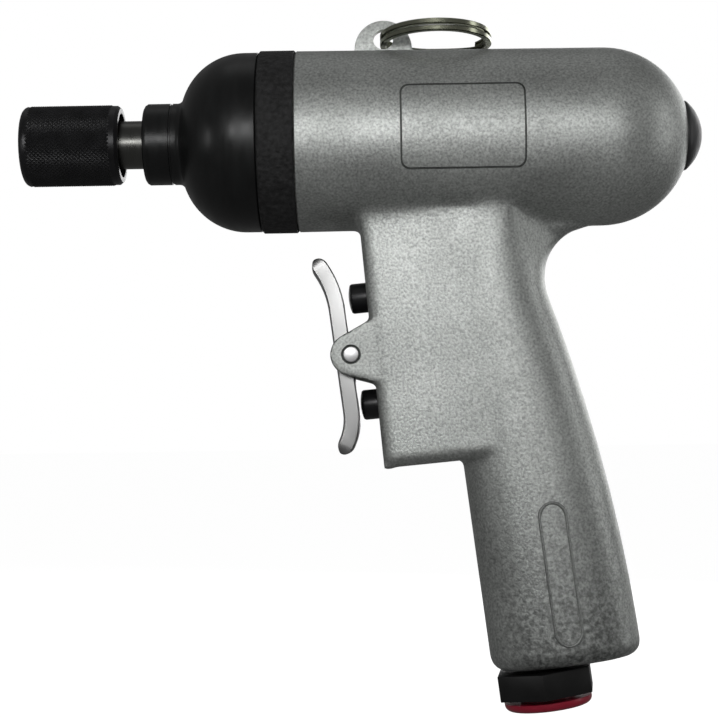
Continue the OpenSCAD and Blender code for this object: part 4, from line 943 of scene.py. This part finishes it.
stop = rod("red_plug", 11.6, (0, 0, -grip_long - plug_seat - 2.2),
           (0, 0, -grip_long - plug_seat), 96)
round_edges(stop, lambda a, b: max(a.z, b.z) < -(grip_long + plug_seat + 2.1) * mm, 1.7, 7)
peg = rod("red_peg", 7.3, (0, 0, -grip_long - 9.4), (0, 0, -grip_long - plug_seat + 2.4), 64)
chamfer(peg, 0.3, 2, 40)
carve(stop, peg, operation="UNION")
lean_over(stop, grip_at, grip_lean)
smooth(stop, 30)
red = finish("red_plastic", (0.24, 0.005, 0.021), 0.34, 0.0, grain=0.003, blotch=0.06,
             blotch_size=6)
dress(stop, red)
belongs(stop, "plug", "red_plug", "dust_plug")

# ---------------------------------------------------------------------------
# Inside: vane motor, bearings, hammer mechanism, valves. These are carried
# over from the CAD as turned, ground and moulded parts, each in its own metal.
# ---------------------------------------------------------------------------
brass = finish("valve_brass_bar", (0.60, 0.42, 0.16), 0.30, 1.0, grain=0.004, blotch=0.06,
               stretch=(6, 1, 1))
bronze = finish("sintered_bronze", (0.42, 0.27, 0.13), 0.52, 1.0, grain=0.04, grain_size=0.35,
                blotch=0.12, blotch_size=3, speck=0.35, speck_size=0.5)
gasket = finish("gasket_paper", (0.10, 0.12, 0.10), 0.8, 0.0, grain=0.02, blotch=0.15)
plate_alloy = finish("end_plate_alloy", (0.45, 0.46, 0.45), 0.32, 1.0, grain=0.008, blotch=0.06,
                     stretch=(9, 1, 1))
bearing = finish("bearing_steel", (0.52, 0.52, 0.53), 0.16, 1.0, grain=0.002, blotch=0.03)
liner = finish("ground_liner_steel", (0.40, 0.40, 0.41), 0.22, 1.0, grain=0.005, blotch=0.05,
               stretch=(8, 1, 1))
hammer_steel = finish("hardened_hammer_steel", (0.16, 0.155, 0.16), 0.34, 1.0, grain=0.008,
                      blotch=0.14, blotch_size=6)
resin = finish("vane_resin", (0.16, 0.07, 0.03), 0.5, 0.0, grain=0.012, blotch=0.15, blotch_size=4)
seal_rubber = finish("seal_rubber", (0.015, 0.015, 0.016), 0.5, 0.0, blotch=0.1)
for node, material in (
        ("anvil_bushing", bronze), ("case_gasket", gasket), ("front_end_plate", plate_alloy),
        ("rear_end_plate", plate_alloy), ("front_bearing_outer", bearing),
        ("front_bearing_inner", bearing), ("front_bearing_balls", ball_steel),
        ("rear_bearing_outer", bearing), ("rear_bearing_inner", bearing),
        ("rear_bearing_balls", ball_steel), ("cylinder_liner", liner), ("rotor", liner),
        ("rotor_vanes", resin), ("hammer_cage", hammer_steel), ("upper_hammer_dog", hammer_steel),
        ("lower_hammer_dog", hammer_steel), ("thrust_washer", washer_steel),
        ("preload_washer", washer_steel), ("hammer_pins", pin_steel), ("locating_pin", pin_steel),
        ("upper_valve_stem", brass), ("lower_valve_stem", brass), ("valve_bushings", brass),
        ("valve_caps", brass), ("upper_valve_spring", spring_wire),
        ("lower_valve_spring", spring_wire), ("upper_stem_seal", seal_rubber),
        ("lower_stem_seal", seal_rubber), ("inlet_screen", brass),
        ("exhaust_silencer", bronze)):
    finish_node(node, material)
